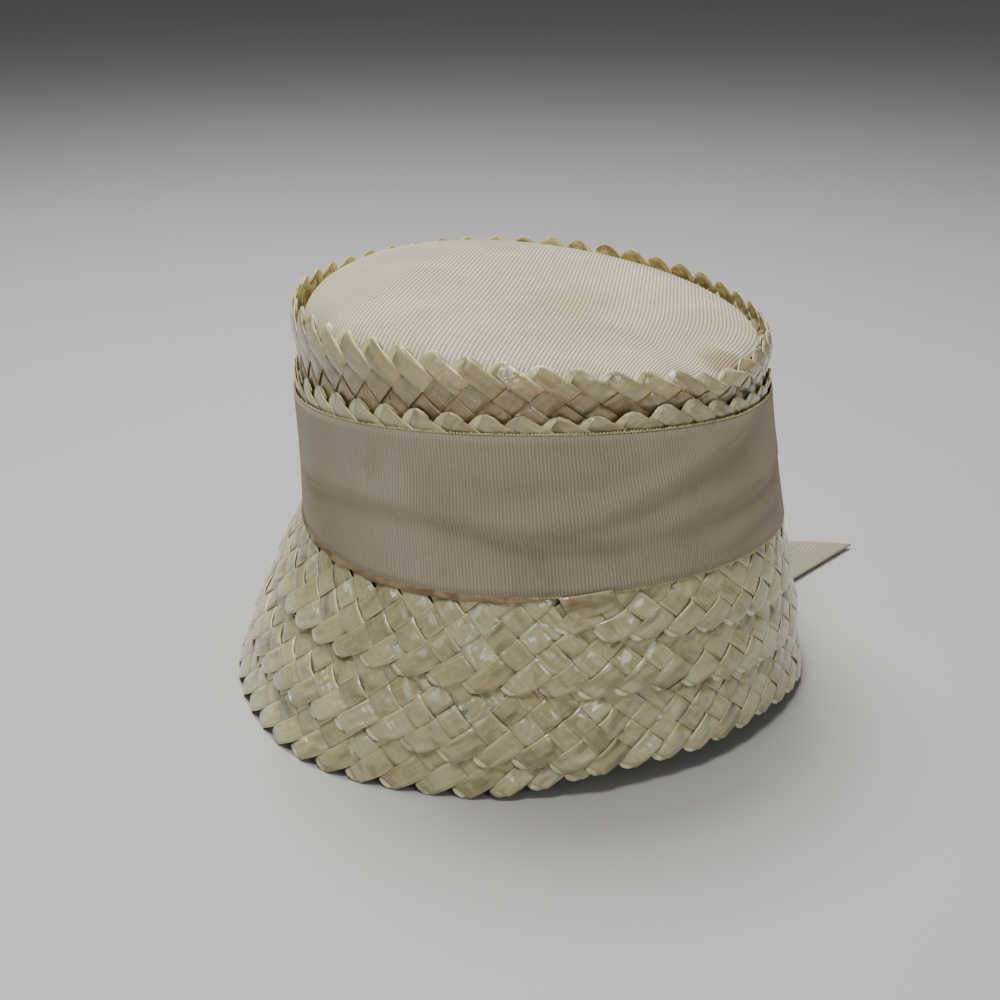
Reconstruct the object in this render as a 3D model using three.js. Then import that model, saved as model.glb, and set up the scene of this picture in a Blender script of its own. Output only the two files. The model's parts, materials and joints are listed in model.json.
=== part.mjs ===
// A woman's straw hat in the bucket form: a ribbed, domed tip inside a standing rim of plaited straw,
// a wide grosgrain band, and a flared brim sewn from one long straw braid in a spiral of three turns.
// Millimetres, +Z up. The hat stands on z = 0, its crown axis is near X = Y = 0 and its back is at +Y.
import * as THREE from 'three';

// Overall sizes
const BRIM_RADIUS = 113;
const BRIM_HEIGHT = 67.5;
const BAND_WIDTH = 51;
const HEAD_RADIUS = 90;
const TOP_RADIUS = 84.2;
const LOWER_ROW_REVEAL = 7.6;
const UPPER_ROW_REVEAL = 19.9;
const GUTTER_DEPTH = 8;
const DOME_RISE = 14.7;

// Materials' thicknesses and the clearance between sewn layers
const BRAID_THICKNESS = 1.4;
const RIBBON_THICKNESS = 1;
const WALL_THICKNESS = 1.2;
const TIP_THICKNESS = 1.2;
const GAP = 0.3;

// The straw braid
const BRAID_WIDTH = 31;
const TOOTH_PITCH = 12;
const BRIM_TOOTH_PITCH = 13.1;
const TOOTH_DEPTH = 4.6;
const TOOTH_LEAN = 0.58;
const SEWING_MARGIN = 2;
const RAMP_LENGTH = 8;
const RIM_LEAN = 3.4;
const LOWER_ROW_LEAN = 4.6;
const LOWER_ROW_PHASE = 0.45;

// The crown: how far its wall reaches below the band, and how full the tip's shoulder and flat its top are
const WALL_FOOT = 11;
const SHOULDER_FULLNESS = 0.75;
const TOP_FLATNESS = 1;

// The band's waist, and the knot and tails at the back
const WAIST = 0.5;
const KNOT_WIDTH = 0.51 * BAND_WIDTH;
const KNOT_HEIGHT = 0.8 * BAND_WIDTH;
const KNOT_DEPTH = 6.5;
const KNOT_EDGE = 1.2;
const KNOT_CORNER = 0.14;
const KNOT_ROUND = 0.88;
const TAIL_CLEARANCE = 0.4;

// Heights that follow from the sizes above
const bandBottom = BRIM_HEIGHT;
const bandTop = bandBottom + BAND_WIDTH;
const lowerTips = bandTop + LOWER_ROW_REVEAL;
const rimTips = lowerTips + UPPER_ROW_REVEAL;
const upperRowFoot = rimTips - BRAID_WIDTH;
const lowerRowFoot = lowerTips - BRAID_WIDTH;
const wallTop = rimTips - GUTTER_DEPTH;
const layer = BRAID_THICKNESS + GAP;
const degrees = Math.PI / 180;

// How the worn hat departs from a turned one, ring by ring. Lean moves a ring, tilt and saddle raise its
// sides, twist raises it between the axes. All are shares of BRIM_RADIUS.
const RINGS = [
  {
    height: 0, leanX: 0, leanY: 0,
    tiltX: 0, tiltY: 0, saddle: 0, twist: 0,
  },
  {
    height: bandBottom, leanX: 0.054, leanY: 0.042,
    tiltX: -0.009, tiltY: -0.012, saddle: 0.021, twist: -0.007,
  },
  {
    height: bandTop, leanX: 0.025, leanY: 0.015,
    tiltX: 0.013, tiltY: -0.007, saddle: -0.004, twist: -0.027,
  },
  {
    height: rimTips, leanX: 0.023, leanY: 0.012,
    tiltX: -0.047, tiltY: -0.027, saddle: -0.013, twist: -0.016,
  },
];

// The brim's lower edge by angle in degrees from +X: reach is a share of BRIM_RADIUS, lift of BRIM_HEIGHT.
const BRIM_EDGE = [
  { angle: -180, reach: 1.004, lift: 0 },
  { angle: -150, reach: 1.013, lift: 0 },
  { angle: -120, reach: 1.012, lift: 0 },
  { angle: -90, reach: 1.034, lift: 0 },
  { angle: -60, reach: 0.987, lift: 0 },
  { angle: -30, reach: 0.96, lift: 0.111 },
  { angle: 0, reach: 0.965, lift: 0.111 },
  { angle: 30, reach: 0.991, lift: 0.037 },
  { angle: 60, reach: 1, lift: 0 },
  { angle: 120, reach: 1, lift: 0 },
  { angle: 180, reach: 1.004, lift: 0 },
];

// The upper crown row's profile from its teeth down: down is a share of BRAID_WIDTH, lean of RIM_LEAN.
const RIM_PROFILE = [
  { down: 0, lean: 0.88 },
  { down: 0.27, lean: 1 },
  { down: 0.5, lean: 0.47 },
  { down: 1, lean: 0 },
];

// Where the ramp from one layer to the next may lie, in shares of the braid's width from its upper edge
const RAMP = { first: 0.03, last: 0.6, shortest: 0.1, end: 0.9 };

// The dent in the rim, and the teeth of the lower crown row that stand higher beside it: angle and spread in
// degrees, drop and rise shares of BRIM_RADIUS.
const RIM_DENT = { angle: -3, spread: 7, drop: 0.027 };
const HIGH_TEETH = { angle: -11, spread: 15, rise: 0.056 };

// The dome is fuller on one side and slumps on the other: the full side's angle, and rise as a share of
// BRIM_RADIUS.
const DOME_SLUMP = { angle: 214, rise: 0.118 };

// The braid's toothed edge along the spiral: turns from its start, and how far down the brim's slope it is.
const SPIRAL_START = -43;
const SPIRAL = [
  { turns: 0, edge: 0.2 },
  { turns: 0.035, edge: 0.3 },
  { turns: 0.13, edge: 0.374 },
  { turns: 0.5, edge: 0.4 },
  { turns: 0.9, edge: 0.43 },
  { turns: 0.967, edge: 0.48 },
  { turns: 1.033, edge: 0.583 },
  { turns: 1.13, edge: 0.673 },
  { turns: 1.5, edge: 0.72 },
  { turns: 1.9, edge: 0.765 },
  { turns: 1.967, edge: 0.833 },
  { turns: 2.033, edge: 1 },
  { turns: 3.04, edge: 1 },
];
const lastTurn = SPIRAL[SPIRAL.length - 1].turns;

// One tail of the band, from the knot to its cut end: the angle in degrees from the back's middle line and
// the way down, as a share of the slope (below 1) or of BRIM_HEIGHT out on the table (the part above 1).
const TAIL = [
  { farAngle: 0.7, farDown: -0.07, nearAngle: 8, nearDown: -0.07 },
  { farAngle: 0.8, farDown: 0.2, nearAngle: 11, nearDown: 0.2 },
  { farAngle: 1.2, farDown: 0.55, nearAngle: 14.5, nearDown: 0.55 },
  { farAngle: 2, farDown: 0.88, nearAngle: 18, nearDown: 0.86 },
  { farAngle: 3.4, farDown: 1.13, nearAngle: 20.5, nearDown: 1.045 },
  { farAngle: 5.6, farDown: 1.4, nearAngle: 21.8, nearDown: 1.07 },
  { farAngle: 10, farDown: 1.753, nearAngle: 22.9, nearDown: 1.1 },
  { farAngle: 15.7, farDown: 2.04, nearAngle: 23.9, nearDown: 1.133 },
];

// Finishes
const straw = new THREE.MeshStandardMaterial({ color: 0xc4bc9c, roughness: 0.38, metalness: 0 });
const ribbon = new THREE.MeshStandardMaterial({ color: 0xb3a892, roughness: 0.8, metalness: 0 });
const tipCloth = new THREE.MeshStandardMaterial({ color: 0xd6d2c4, roughness: 0.6, metalness: 0 });
const foundation = new THREE.MeshStandardMaterial({ color: 0x8f8368, roughness: 0.9, metalness: 0 });

function clamp(value, low, high) {
  return Math.min(Math.max(value, low), high);
}

// Read a column of a table, eased between the two rows on either side of the place.
function readTable(table, key, place, column, eased = false) {
  const last = table.length - 1;
  let i = 0;
  while (i < last - 1 && place > table[i + 1][key]) {
    i += 1;
  }
  const share = clamp((place - table[i][key]) / (table[i + 1][key] - table[i][key]), 0, 1);
  const t = eased ? share * share * (3 - 2 * share) : share;
  return table[i][column] + (table[i + 1][column] - table[i][column]) * t;
}

function wrapAngle(angle) {
  return angle - 360 * Math.floor((angle + 180) / 360);
}

// 1 at a place's angle, falling softly to 0 over its spread.
function nearness(angle, place) {
  return Math.exp(-((wrapAngle(angle - place.angle) / place.spread) ** 2));
}

// The one place where the turned form becomes the worn one: every vertex of the hat passes through here.
function settle(angle, radius, height) {
  const ring = (column) => BRIM_RADIUS * readTable(RINGS, 'height', height, column);
  const turn = angle * degrees;
  const brimShare = clamp(1 - height / bandBottom, 0, 1);
  const at = wrapAngle(angle);
  const flare = (readTable(BRIM_EDGE, 'angle', at, 'reach', true) - 1) * BRIM_RADIUS * brimShare;
  const lift = readTable(BRIM_EDGE, 'angle', at, 'lift', true) * BRIM_HEIGHT * brimShare;
  const aboveBand = clamp((height - bandTop) / (rimTips - bandTop), 0, 1);
  const r = radius + flare;
  const share = r / TOP_RADIUS;
  const drop = RIM_DENT.drop * BRIM_RADIUS * aboveBand * share ** 2 * nearness(angle, RIM_DENT);
  const rise = share * (ring('tiltX') * Math.cos(turn) + ring('tiltY') * Math.sin(turn));
  const bend = share ** 2 * (ring('saddle') * Math.cos(2 * turn) + ring('twist') * Math.sin(2 * turn));
  return new THREE.Vector3(
    r * Math.cos(turn) + ring('leanX'),
    r * Math.sin(turn) + ring('leanY'),
    height + lift + rise + bend - drop,
  );
}

// Radius of the line that the layers are sewn on: GAP outside the crown wall, then down the brim's slope.
function crownLine(height) {
  const share = clamp((height - bandBottom) / BAND_WIDTH, 0, 1);
  return HEAD_RADIUS + (TOP_RADIUS - HEAD_RADIUS) * share;
}

const edgeLine = BRIM_RADIUS - BRAID_THICKNESS;
const slope = Math.hypot(BRIM_HEIGHT, edgeLine - HEAD_RADIUS);

// A point on the brim or just above it: down is millimetres along the slope from the band's lower edge,
// out is the distance outside the sewing line.
function brimPoint(angle, down, out) {
  if (down < 0) {
    return settle(angle, crownLine(bandBottom - down) + out, bandBottom - down);
  }
  const t = down / slope;
  return settle(angle, HEAD_RADIUS + (edgeLine - HEAD_RADIUS) * t + out, bandBottom * (1 - t));
}

// A wall from a row of sections. Each section has as many outer as inner points, listed from the top down;
// a closed wall joins its last section to its first, an open one gets two ends.
function wallGeometry(sections, closed) {
  const rows = sections[0].outer.length;
  const positions = [];
  sections.forEach((section) => {
    [...section.outer, ...section.inner].forEach((p) => positions.push(p.x, p.y, p.z));
  });
  const outer = (i, j) => (i % sections.length) * rows * 2 + j;
  const inner = (i, j) => outer(i, j) + rows;
  const index = [];
  const quad = (a, b, c, d) => index.push(a, b, c, a, c, d);
  const spans = closed ? sections.length : sections.length - 1;
  for (let i = 0; i < spans; i += 1) {
    for (let j = 0; j < rows - 1; j += 1) {
      quad(outer(i, j), outer(i, j + 1), outer(i + 1, j + 1), outer(i + 1, j));
      quad(inner(i, j), inner(i + 1, j), inner(i + 1, j + 1), inner(i, j + 1));
    }
    quad(outer(i, 0), outer(i + 1, 0), inner(i + 1, 0), inner(i, 0));
    quad(outer(i, rows - 1), inner(i, rows - 1), inner(i + 1, rows - 1), outer(i + 1, rows - 1));
  }
  if (!closed) {
    const end = sections.length - 1;
    for (let j = 0; j < rows - 1; j += 1) {
      quad(outer(0, j), inner(0, j), inner(0, j + 1), outer(0, j + 1));
      quad(outer(end, j), outer(end, j + 1), inner(end, j + 1), inner(end, j));
    }
  }
  const geometry = new THREE.BufferGeometry();
  geometry.setAttribute('position', new THREE.Float32BufferAttribute(positions, 3));
  geometry.setIndex(index);
  geometry.computeVertexNormals();
  return geometry;
}

function named(name, geometry, material) {
  const mesh = new THREE.Mesh(geometry, material);
  mesh.name = name;
  return mesh;
}

// A turned wall, settled into the worn form. The profile is [radius, height] pairs, and raised gives what
// is added to the height at an angle and radius.
function turnedWall(profile, sectors, raised = () => 0) {
  const points = profile.map(([radius, height]) => new THREE.Vector2(radius, height));
  const geometry = new THREE.LatheGeometry(points, sectors);
  const place = geometry.attributes.position;
  for (let i = 0; i < place.count; i += 1) {
    const radius = Math.hypot(place.getX(i), place.getZ(i));
    const angle = Math.atan2(-place.getZ(i), place.getX(i)) / degrees;
    const p = settle(angle, radius, place.getY(i) + raised(angle, radius));
    place.setXYZ(i, p.x, p.y, p.z);
  }
  geometry.computeVertexNormals();
  return geometry;
}

// The foundation wall of the crown, which shows as a thin strip under the band's lower edge.
const wallSectors = 44;
function crownWall() {
  const outside = (height) => crownLine(height) - GAP;
  const foot = bandBottom - WALL_FOOT;
  const heights = [foot, bandBottom, bandBottom + BAND_WIDTH / 2, bandTop, wallTop];
  const profile = [
    ...heights.map((height) => [outside(height) - WALL_THICKNESS, height]),
    ...heights.toReversed().map((height) => [outside(height), height]),
  ];
  profile.push(profile[0]);
  return turnedWall(profile.toReversed(), wallSectors);
}

// The domed tip stands on the wall's upper edge: a round shoulder, then a low dome.
const domeRows = 5;
function crownTip() {
  const base = wallTop + GAP;
  const edge = TOP_RADIUS - GAP;
  const dome = (inset) => {
    const rows = [];
    for (let i = 0; i <= domeRows; i += 1) {
      const turn = (i / domeRows) * Math.PI / 2;
      const radius = i === domeRows ? 0 : (edge - inset) * Math.cos(turn) ** SHOULDER_FULLNESS;
      rows.push([radius, base + (DOME_RISE - inset) * Math.sin(turn) ** TOP_FLATNESS]);
    }
    return rows;
  };
  const slump = (angle, radius) => {
    const share = Math.min(radius / (edge - TIP_THICKNESS), 1);
    const side = Math.cos((angle - DOME_SLUMP.angle) * degrees);
    return DOME_SLUMP.rise * BRIM_RADIUS * share * (1 - share ** 2) * side;
  };
  return turnedWall([...dome(TIP_THICKNESS).toReversed(), ...dome(0)], wallSectors, slump);
}

// A ring of braid on the crown with its teeth standing up. The table holds height and out in millimetres,
// from the teeth down; only the first row follows the teeth. Where high is given, the teeth rise near it.
function crownRow(table, phase, high) {
  const teeth = Math.round((2 * Math.PI * (TOP_RADIUS + RIM_LEAN)) / TOOTH_PITCH);
  const sections = [];
  for (let i = 0; i < 2 * teeth; i += 1) {
    const isTip = i % 2 === 0;
    const tooth = Math.floor(i / 2) + phase + (isTip ? 0 : TOOTH_LEAN);
    const angle = (360 * tooth) / teeth;
    const rise = high ? high.rise * BRIM_RADIUS * nearness(angle, high) : 0;
    const drop = (isTip ? 0 : TOOTH_DEPTH) - rise;
    const rows = table.map((row, j) => ({ height: row.height - (j === 0 ? drop : 0), out: row.out }));
    const face = (out) => rows.map((row) => {
      const radius = crownLine(row.height) + row.out + out;
      return settle(angle, radius, row.height);
    });
    sections.push({ outer: face(BRAID_THICKNESS), inner: face(0) });
  }
  return wallGeometry(sections, true);
}

// The upper row leans out of the crown by RIM_LEAN and its teeth turn in again.
const rimRows = RIM_PROFILE.map((row) => ({
  height: rimTips - row.down * BRAID_WIDTH,
  out: row.lean * RIM_LEAN,
}));
const rimWaist = rimRows[2];

// How far the upper row's inner face stands from the sewing line at the band's upper edge.
const footRadius = crownLine(upperRowFoot);
const waistRadius = crownLine(rimWaist.height) + rimWaist.out;
const footToBand = (bandTop - upperRowFoot) / (rimWaist.height - upperRowFoot);
const upperRowOutAtBand = footRadius + (waistRadius - footRadius) * footToBand - crownLine(bandTop);
const lowerRowOutAtBand = upperRowOutAtBand + layer;

// The lower row lies over the foot of the upper one, and its teeth stand out beyond it.
function lowerRow() {
  return crownRow([
    { height: lowerTips, out: LOWER_ROW_LEAN },
    { height: bandTop, out: lowerRowOutAtBand },
    { height: upperRowFoot - 2 * GAP, out: layer },
    { height: lowerRowFoot, out: 0 },
  ], LOWER_ROW_PHASE, HIGH_TEETH);
}

// The band's inner face bridges from the brim's braid at the bottom to the crown's lower row at the top.
function bandInside(height) {
  const share = (height - bandBottom) / BAND_WIDTH;
  const low = HEAD_RADIUS + layer;
  const high = TOP_RADIUS + lowerRowOutAtBand + layer;
  return low + (high - low) * share - 4 * WAIST * share * (1 - share);
}

const bandSectors = 64;
const bandRows = 4;
function ribbonBand() {
  const sections = [];
  for (let i = 0; i < bandSectors; i += 1) {
    const angle = (360 * i) / bandSectors;
    const heights = Array.from({ length: bandRows + 1 }, (_, j) => bandTop - (BAND_WIDTH * j) / bandRows);
    sections.push({
      outer: heights.map((height) => settle(angle, bandInside(height) + RIBBON_THICKNESS, height)),
      inner: heights.map((height) => settle(angle, bandInside(height), height)),
    });
  }
  return wallGeometry(sections, true);
}

// The brim's braid. Its upper edge reaches under the teeth of the turn above. It is trimmed under the band,
// and at the end of the spiral so that no more than two turns lie on each other.
const tuck = 0.2 * BAND_WIDTH;
function braidEdge(turns) {
  return slope * readTable(SPIRAL, 'turns', turns, 'edge', true);
}

function braidTop(turns) {
  const underTeeth = turns >= 1 ? braidEdge(turns - 1) - TOOTH_DEPTH - SEWING_MARGIN : 0;
  const clearOfTwoTurnsUp = turns >= 2 ? braidEdge(turns - 2) + RAMP_LENGTH : -tuck;
  return Math.max(Math.min(braidEdge(turns) - BRAID_WIDTH, underTeeth), -tuck, clearOfTwoTurnsUp);
}

// Each turn lies under the one before it and over the one after it, with a ramp in between.
function braidSection(turns, drop) {
  const angle = SPIRAL_START + 360 * turns;
  const top = braidTop(turns);
  const edge = braidEdge(turns) - drop;
  const last = turns + 1 > lastTurn;
  const under = turns >= 1 ? braidEdge(turns - 1) + SEWING_MARGIN : 0;
  const over = last ? edge : braidTop(turns + 1) - SEWING_MARGIN;
  const width = edge - top;
  const rampStart = clamp(under, top + RAMP.first * width, top + RAMP.last * width);
  const rampEnd = clamp(over, rampStart + RAMP.shortest * width, top + RAMP.end * width);
  const rise = last ? 0 : layer;
  const rows = [[top, 0], [rampStart, 0], [rampEnd, rise], [edge, rise]];
  return {
    outer: rows.map(([down, out]) => brimPoint(angle, down, out + BRAID_THICKNESS)),
    inner: rows.map(([down, out]) => brimPoint(angle, down, out)),
  };
}

function brimBraid() {
  const sections = [];
  let turns = 0;
  let isTip = false;
  while (turns < lastTurn) {
    sections.push(braidSection(turns, isTip ? 0 : TOOTH_DEPTH));
    const radius = HEAD_RADIUS + ((edgeLine - HEAD_RADIUS) * braidEdge(turns)) / slope;
    const stepShare = isTip ? TOOTH_LEAN : 1 - TOOTH_LEAN;
    turns += (stepShare * BRIM_TOOTH_PITCH) / (2 * Math.PI * radius);
    isTip = !isTip;
  }
  sections.push(braidSection(lastTurn, TOOTH_DEPTH));
  return wallGeometry(sections, false);
}

// The knot: a pad of wrapped ribbon on the band, at the middle of the back.
const back = 90;
const knotSteps = 6;
function ribbonKnot() {
  const middle = (bandBottom + bandTop) / 2;
  const radiusAtKnot = bandInside(middle) + RIBBON_THICKNESS;
  const halfAngle = KNOT_WIDTH / 2 / radiusAtKnot / degrees;
  const sections = [];
  for (let i = 0; i <= knotSteps; i += 1) {
    const across = -1 + (2 * i) / knotSteps;
    const round = Math.sqrt(1 - KNOT_ROUND * across ** 4);
    const half = (KNOT_HEIGHT / 2) * (1 - KNOT_CORNER * (1 - round));
    const shares = Array.from({ length: knotSteps + 1 }, (_, j) => 1 - (2 * j) / knotSteps);
    const heights = shares.map((share) => middle + half * share);
    const face = (height) => bandInside(height) + RIBBON_THICKNESS + GAP;
    const bulge = (height) => {
      const along = (height - middle) / half;
      return KNOT_EDGE + (KNOT_DEPTH - KNOT_EDGE) * round * Math.sqrt(1 - KNOT_ROUND * along ** 4);
    };
    const angle = back + across * halfAngle;
    sections.push({
      outer: heights.map((height) => settle(angle, face(height) + bulge(height), height)),
      inner: heights.map((height) => settle(angle, face(height), height)),
    });
  }
  return wallGeometry(sections, false);
}

// A tail hangs from under the knot down the brim, clear of its braid, and its end lies flat on the table.
const tailColumns = 4;
const tailOut = layer + BRAID_THICKNESS + TAIL_CLEARANCE;
function tailPoint(angle, down, out) {
  if (down <= 1) {
    return brimPoint(angle, down * (down < 0 ? BRIM_HEIGHT : slope), tailOut + out);
  }
  const reach = BRIM_RADIUS + (down - 1) * BRIM_HEIGHT;
  return new THREE.Vector3(reach * Math.cos(angle * degrees), reach * Math.sin(angle * degrees), out);
}

function tailStrip(side) {
  const sections = [];
  const order = Array.from({ length: tailColumns + 1 }, (_, i) => i / tailColumns);
  const columns = side > 0 ? order.toReversed() : order;
  columns.forEach((share) => {
    const rows = TAIL.map((row) => {
      const mix = (a, b) => a + (b - a) * share;
      const point = (out) => {
        if (row.farDown > 1 && row.nearDown > 1) {
          const far = tailPoint(back - side * row.farAngle, row.farDown, out);
          return far.lerp(tailPoint(back - side * row.nearAngle, row.nearDown, out), share);
        }
        const angle = mix(row.farAngle, row.nearAngle);
        return tailPoint(back - side * angle, mix(row.farDown, row.nearDown), out);
      };
      return { outer: point(RIBBON_THICKNESS), inner: point(0) };
    });
    sections.push({ outer: rows.map((row) => row.outer), inner: rows.map((row) => row.inner) });
  });
  return wallGeometry(sections, false);
}

const hat = new THREE.Group();
hat.add(
  named('crown_tip', crownTip(), tipCloth),
  named('crown_wall', crownWall(), foundation),
  named('crown_braid_upper', crownRow(rimRows, 0), straw),
  named('crown_braid_lower', lowerRow(), straw),
  named('ribbon_band', ribbonBand(), ribbon),
  named('brim_braid', brimBraid(), straw),
  named('ribbon_knot', ribbonKnot(), ribbon),
  named('ribbon_tail_right', tailStrip(1), ribbon),
  named('ribbon_tail_left', tailStrip(-1), ribbon),
);

export default hat;
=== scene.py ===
# %% [markdown]
# # A straw bucket hat with a grosgrain band
#
# The real hat is sewn from one kind of plaited straw braid, four diamonds wide. One long braid winds down the
# brim in a spiral, two shorter ones stand up round the crown, a ribbed cloth tip closes the top and a wide
# ribbon hides where crown and brim meet. This lesson dresses the plain solids of that hat.
#
# The solids come first, as a fixed frame: every piece below takes the place of one of them and has to stay
# where it is. The first box measured is kept, to be printed beside the dressed hat's at the end.

# %% Load the frame
import json
import math

import bpy
import numpy as np
from mathutils import Matrix, Vector

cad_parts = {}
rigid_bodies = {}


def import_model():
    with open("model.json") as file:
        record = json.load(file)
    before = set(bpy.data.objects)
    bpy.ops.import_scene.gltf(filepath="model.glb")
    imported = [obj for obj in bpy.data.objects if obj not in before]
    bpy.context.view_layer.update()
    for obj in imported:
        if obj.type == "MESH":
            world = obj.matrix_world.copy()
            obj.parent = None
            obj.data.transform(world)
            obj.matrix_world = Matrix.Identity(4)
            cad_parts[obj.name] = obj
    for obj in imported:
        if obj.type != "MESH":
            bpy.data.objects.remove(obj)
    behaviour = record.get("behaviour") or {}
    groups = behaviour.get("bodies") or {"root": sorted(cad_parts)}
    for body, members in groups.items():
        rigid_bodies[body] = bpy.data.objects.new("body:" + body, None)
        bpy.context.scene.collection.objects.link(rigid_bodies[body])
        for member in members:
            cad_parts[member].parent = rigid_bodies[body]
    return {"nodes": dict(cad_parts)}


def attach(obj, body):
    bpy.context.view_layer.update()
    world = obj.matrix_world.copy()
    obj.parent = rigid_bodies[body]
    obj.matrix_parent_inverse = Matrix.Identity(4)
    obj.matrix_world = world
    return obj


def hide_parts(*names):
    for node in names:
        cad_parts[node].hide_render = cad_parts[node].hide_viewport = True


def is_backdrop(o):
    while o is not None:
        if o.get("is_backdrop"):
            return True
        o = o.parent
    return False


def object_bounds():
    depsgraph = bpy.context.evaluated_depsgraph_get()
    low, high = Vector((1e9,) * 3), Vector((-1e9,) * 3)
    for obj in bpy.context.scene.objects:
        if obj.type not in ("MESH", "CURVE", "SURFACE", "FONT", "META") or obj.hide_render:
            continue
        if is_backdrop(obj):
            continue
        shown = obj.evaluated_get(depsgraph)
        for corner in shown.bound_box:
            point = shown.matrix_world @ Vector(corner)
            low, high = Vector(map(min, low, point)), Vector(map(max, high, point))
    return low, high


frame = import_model()
cad_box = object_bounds()
print("solids:", ", ".join(sorted(frame["nodes"])))

# %% [markdown]
# ## The sizes of the hat
#
# A hat is drafted from a few measures: brim, head and top, and the widths of the braid and the ribbon.
# They are repeated here in metres, so that each strand can be placed by the same rule that shaped the solids.

# %% Sizes
MM = 0.001
BRIM_RADIUS = 113 * MM
HEAD_RADIUS = 90 * MM
TOP_RADIUS = 84.2 * MM
BAND_BOTTOM = 67.5 * MM
BAND_WIDTH = 51 * MM
BAND_TOP = BAND_BOTTOM + BAND_WIDTH
LOWER_TIPS = BAND_TOP + 7.6 * MM
RIM_TIPS = LOWER_TIPS + 19.9 * MM
WALL_TOP = RIM_TIPS - 8 * MM
WALL_FOOT = BAND_BOTTOM - 11 * MM
DOME_RISE = 14.7 * MM
GAP = 0.3 * MM
BRAID_THICKNESS = 1.4 * MM
RIBBON_THICKNESS = 1.0 * MM
WALL_THICKNESS = 1.2 * MM
TIP_THICKNESS = 1.2 * MM
BRAID_WIDTH = 31 * MM
LAYER = BRAID_THICKNESS + GAP
UPPER_ROW_FOOT = RIM_TIPS - BRAID_WIDTH
LOWER_ROW_FOOT = LOWER_TIPS - BRAID_WIDTH
print("height of the rim:", round(RIM_TIPS / MM, 1), "mm")

# %% [markdown]
# ## The worn form
#
# Straw that was blocked round doesn't stay round: the crown leans, the rim tilts and dips, and the brim lifts
# on one side. All of it could be sculpted piece by piece, but then neighbours would drift apart. Here one
# function bends the turned form into the worn one, and every point of every piece goes through it.

# %% The worn form
RING_HEIGHTS = np.array([0, BAND_BOTTOM, BAND_TOP, RIM_TIPS])
RINGS = BRIM_RADIUS * np.array([  # lean in x and y, tilt in x and y, saddle, twist
    [0, 0, 0, 0, 0, 0],
    [0.054, 0.042, -0.009, -0.012, 0.021, -0.007],
    [0.025, 0.015, 0.013, -0.007, -0.004, -0.027],
    [0.023, 0.012, -0.047, -0.027, -0.013, -0.016],
]).T
EDGE_ANGLES, EDGE_REACH, EDGE_LIFT = np.array([
    [-180, 1.004, 0], [-150, 1.013, 0], [-120, 1.012, 0], [-90, 1.034, 0], [-60, 0.987, 0],
    [-30, 0.96, 0.111], [0, 0.965, 0.111], [30, 0.991, 0.037], [60, 1, 0], [120, 1, 0], [180, 1.004, 0],
]).T
RIM_DENT = (-3, 7, 0.027 * BRIM_RADIUS)  # angle, spread, depth
HIGH_TEETH = (-11, 15, 0.056 * BRIM_RADIUS)  # angle, spread, height


def eased(place, keys, values):
    """Read a table between two of its rows, softly."""
    place = np.asarray(place, float)
    i = np.clip(np.searchsorted(keys, place) - 1, 0, len(keys) - 2)
    share = np.clip((place - keys[i]) / (keys[i + 1] - keys[i]), 0, 1)
    return values[i] + (values[i + 1] - values[i]) * share * share * (3 - 2 * share)


def swell(angle, place):
    """A soft hill round an angle: place is its angle, spread and height."""
    middle, spread, height = place
    away = ((angle - middle + 180) % 360 - 180) / spread
    return height * np.exp(-(away**2))


def settle(angle, radius, height):
    """A point of the turned form, at an angle in degrees, moved to where the worn hat has it."""
    angle, radius, height = np.broadcast_arrays(*(np.asarray(v, float) for v in (angle, radius, height)))
    turn = np.radians(angle)
    at = (angle + 180) % 360 - 180
    lean_x, lean_y, tilt_x, tilt_y, saddle, twist = (np.interp(height, RING_HEIGHTS, ring) for ring in RINGS)
    brim_share = np.clip(1 - height / BAND_BOTTOM, 0, 1)
    r = radius + (eased(at, EDGE_ANGLES, EDGE_REACH) - 1) * BRIM_RADIUS * brim_share
    share = r / TOP_RADIUS
    above = np.clip((height - BAND_TOP) / (RIM_TIPS - BAND_TOP), 0, 1)
    z = height + eased(at, EDGE_ANGLES, EDGE_LIFT) * BAND_BOTTOM * brim_share
    z = z + share * (tilt_x * np.cos(turn) + tilt_y * np.sin(turn))
    z = z + share**2 * (saddle * np.cos(2 * turn) + twist * np.sin(2 * turn))
    z = z - swell(angle, RIM_DENT) * above * share**2
    return np.stack([r * np.cos(turn) + lean_x, r * np.sin(turn) + lean_y, z], axis=-1)


print("rim at the front:", [round(float(v), 4) for v in settle(-90, TOP_RADIUS, RIM_TIPS)])

# %% [markdown]
# The layers are sewn on one line: up the crown it is almost a cylinder, and below the band it runs down the
# brim's slope. A place on the hat is then an angle, a way down and a distance outside that line.

# %% The sewing line
EDGE_LINE = BRIM_RADIUS - BRAID_THICKNESS
SLOPE = math.hypot(BAND_BOTTOM, EDGE_LINE - HEAD_RADIUS)


def crown_line(height):
    share = np.clip((height - BAND_BOTTOM) / BAND_WIDTH, 0, 1)
    return HEAD_RADIUS + (TOP_RADIUS - HEAD_RADIUS) * share


def brim_point(angle, down, out):
    """down is metres along the brim's slope from the band's lower edge, out is metres outside the line."""
    down = np.asarray(down, float)
    share = np.clip(down / SLOPE, 0, None)
    on_crown = crown_line(BAND_BOTTOM - down)
    on_brim = HEAD_RADIUS + (EDGE_LINE - HEAD_RADIUS) * share
    height = np.where(down < 0, BAND_BOTTOM - down, BAND_BOTTOM * (1 - share))
    return settle(angle, np.where(down < 0, on_crown, on_brim) + out, height)


print("slope of the brim:", round(SLOPE / MM, 1), "mm")

# %% [markdown]
# ## Camera, floor and light
#
# The hat is seen from its front left, a little above the top. It stands on a pale floor. A broad light
# overhead gives the straw its pale reflections and leaves the plait's gaps dark, and three smaller ones stand
# for windows.

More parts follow.
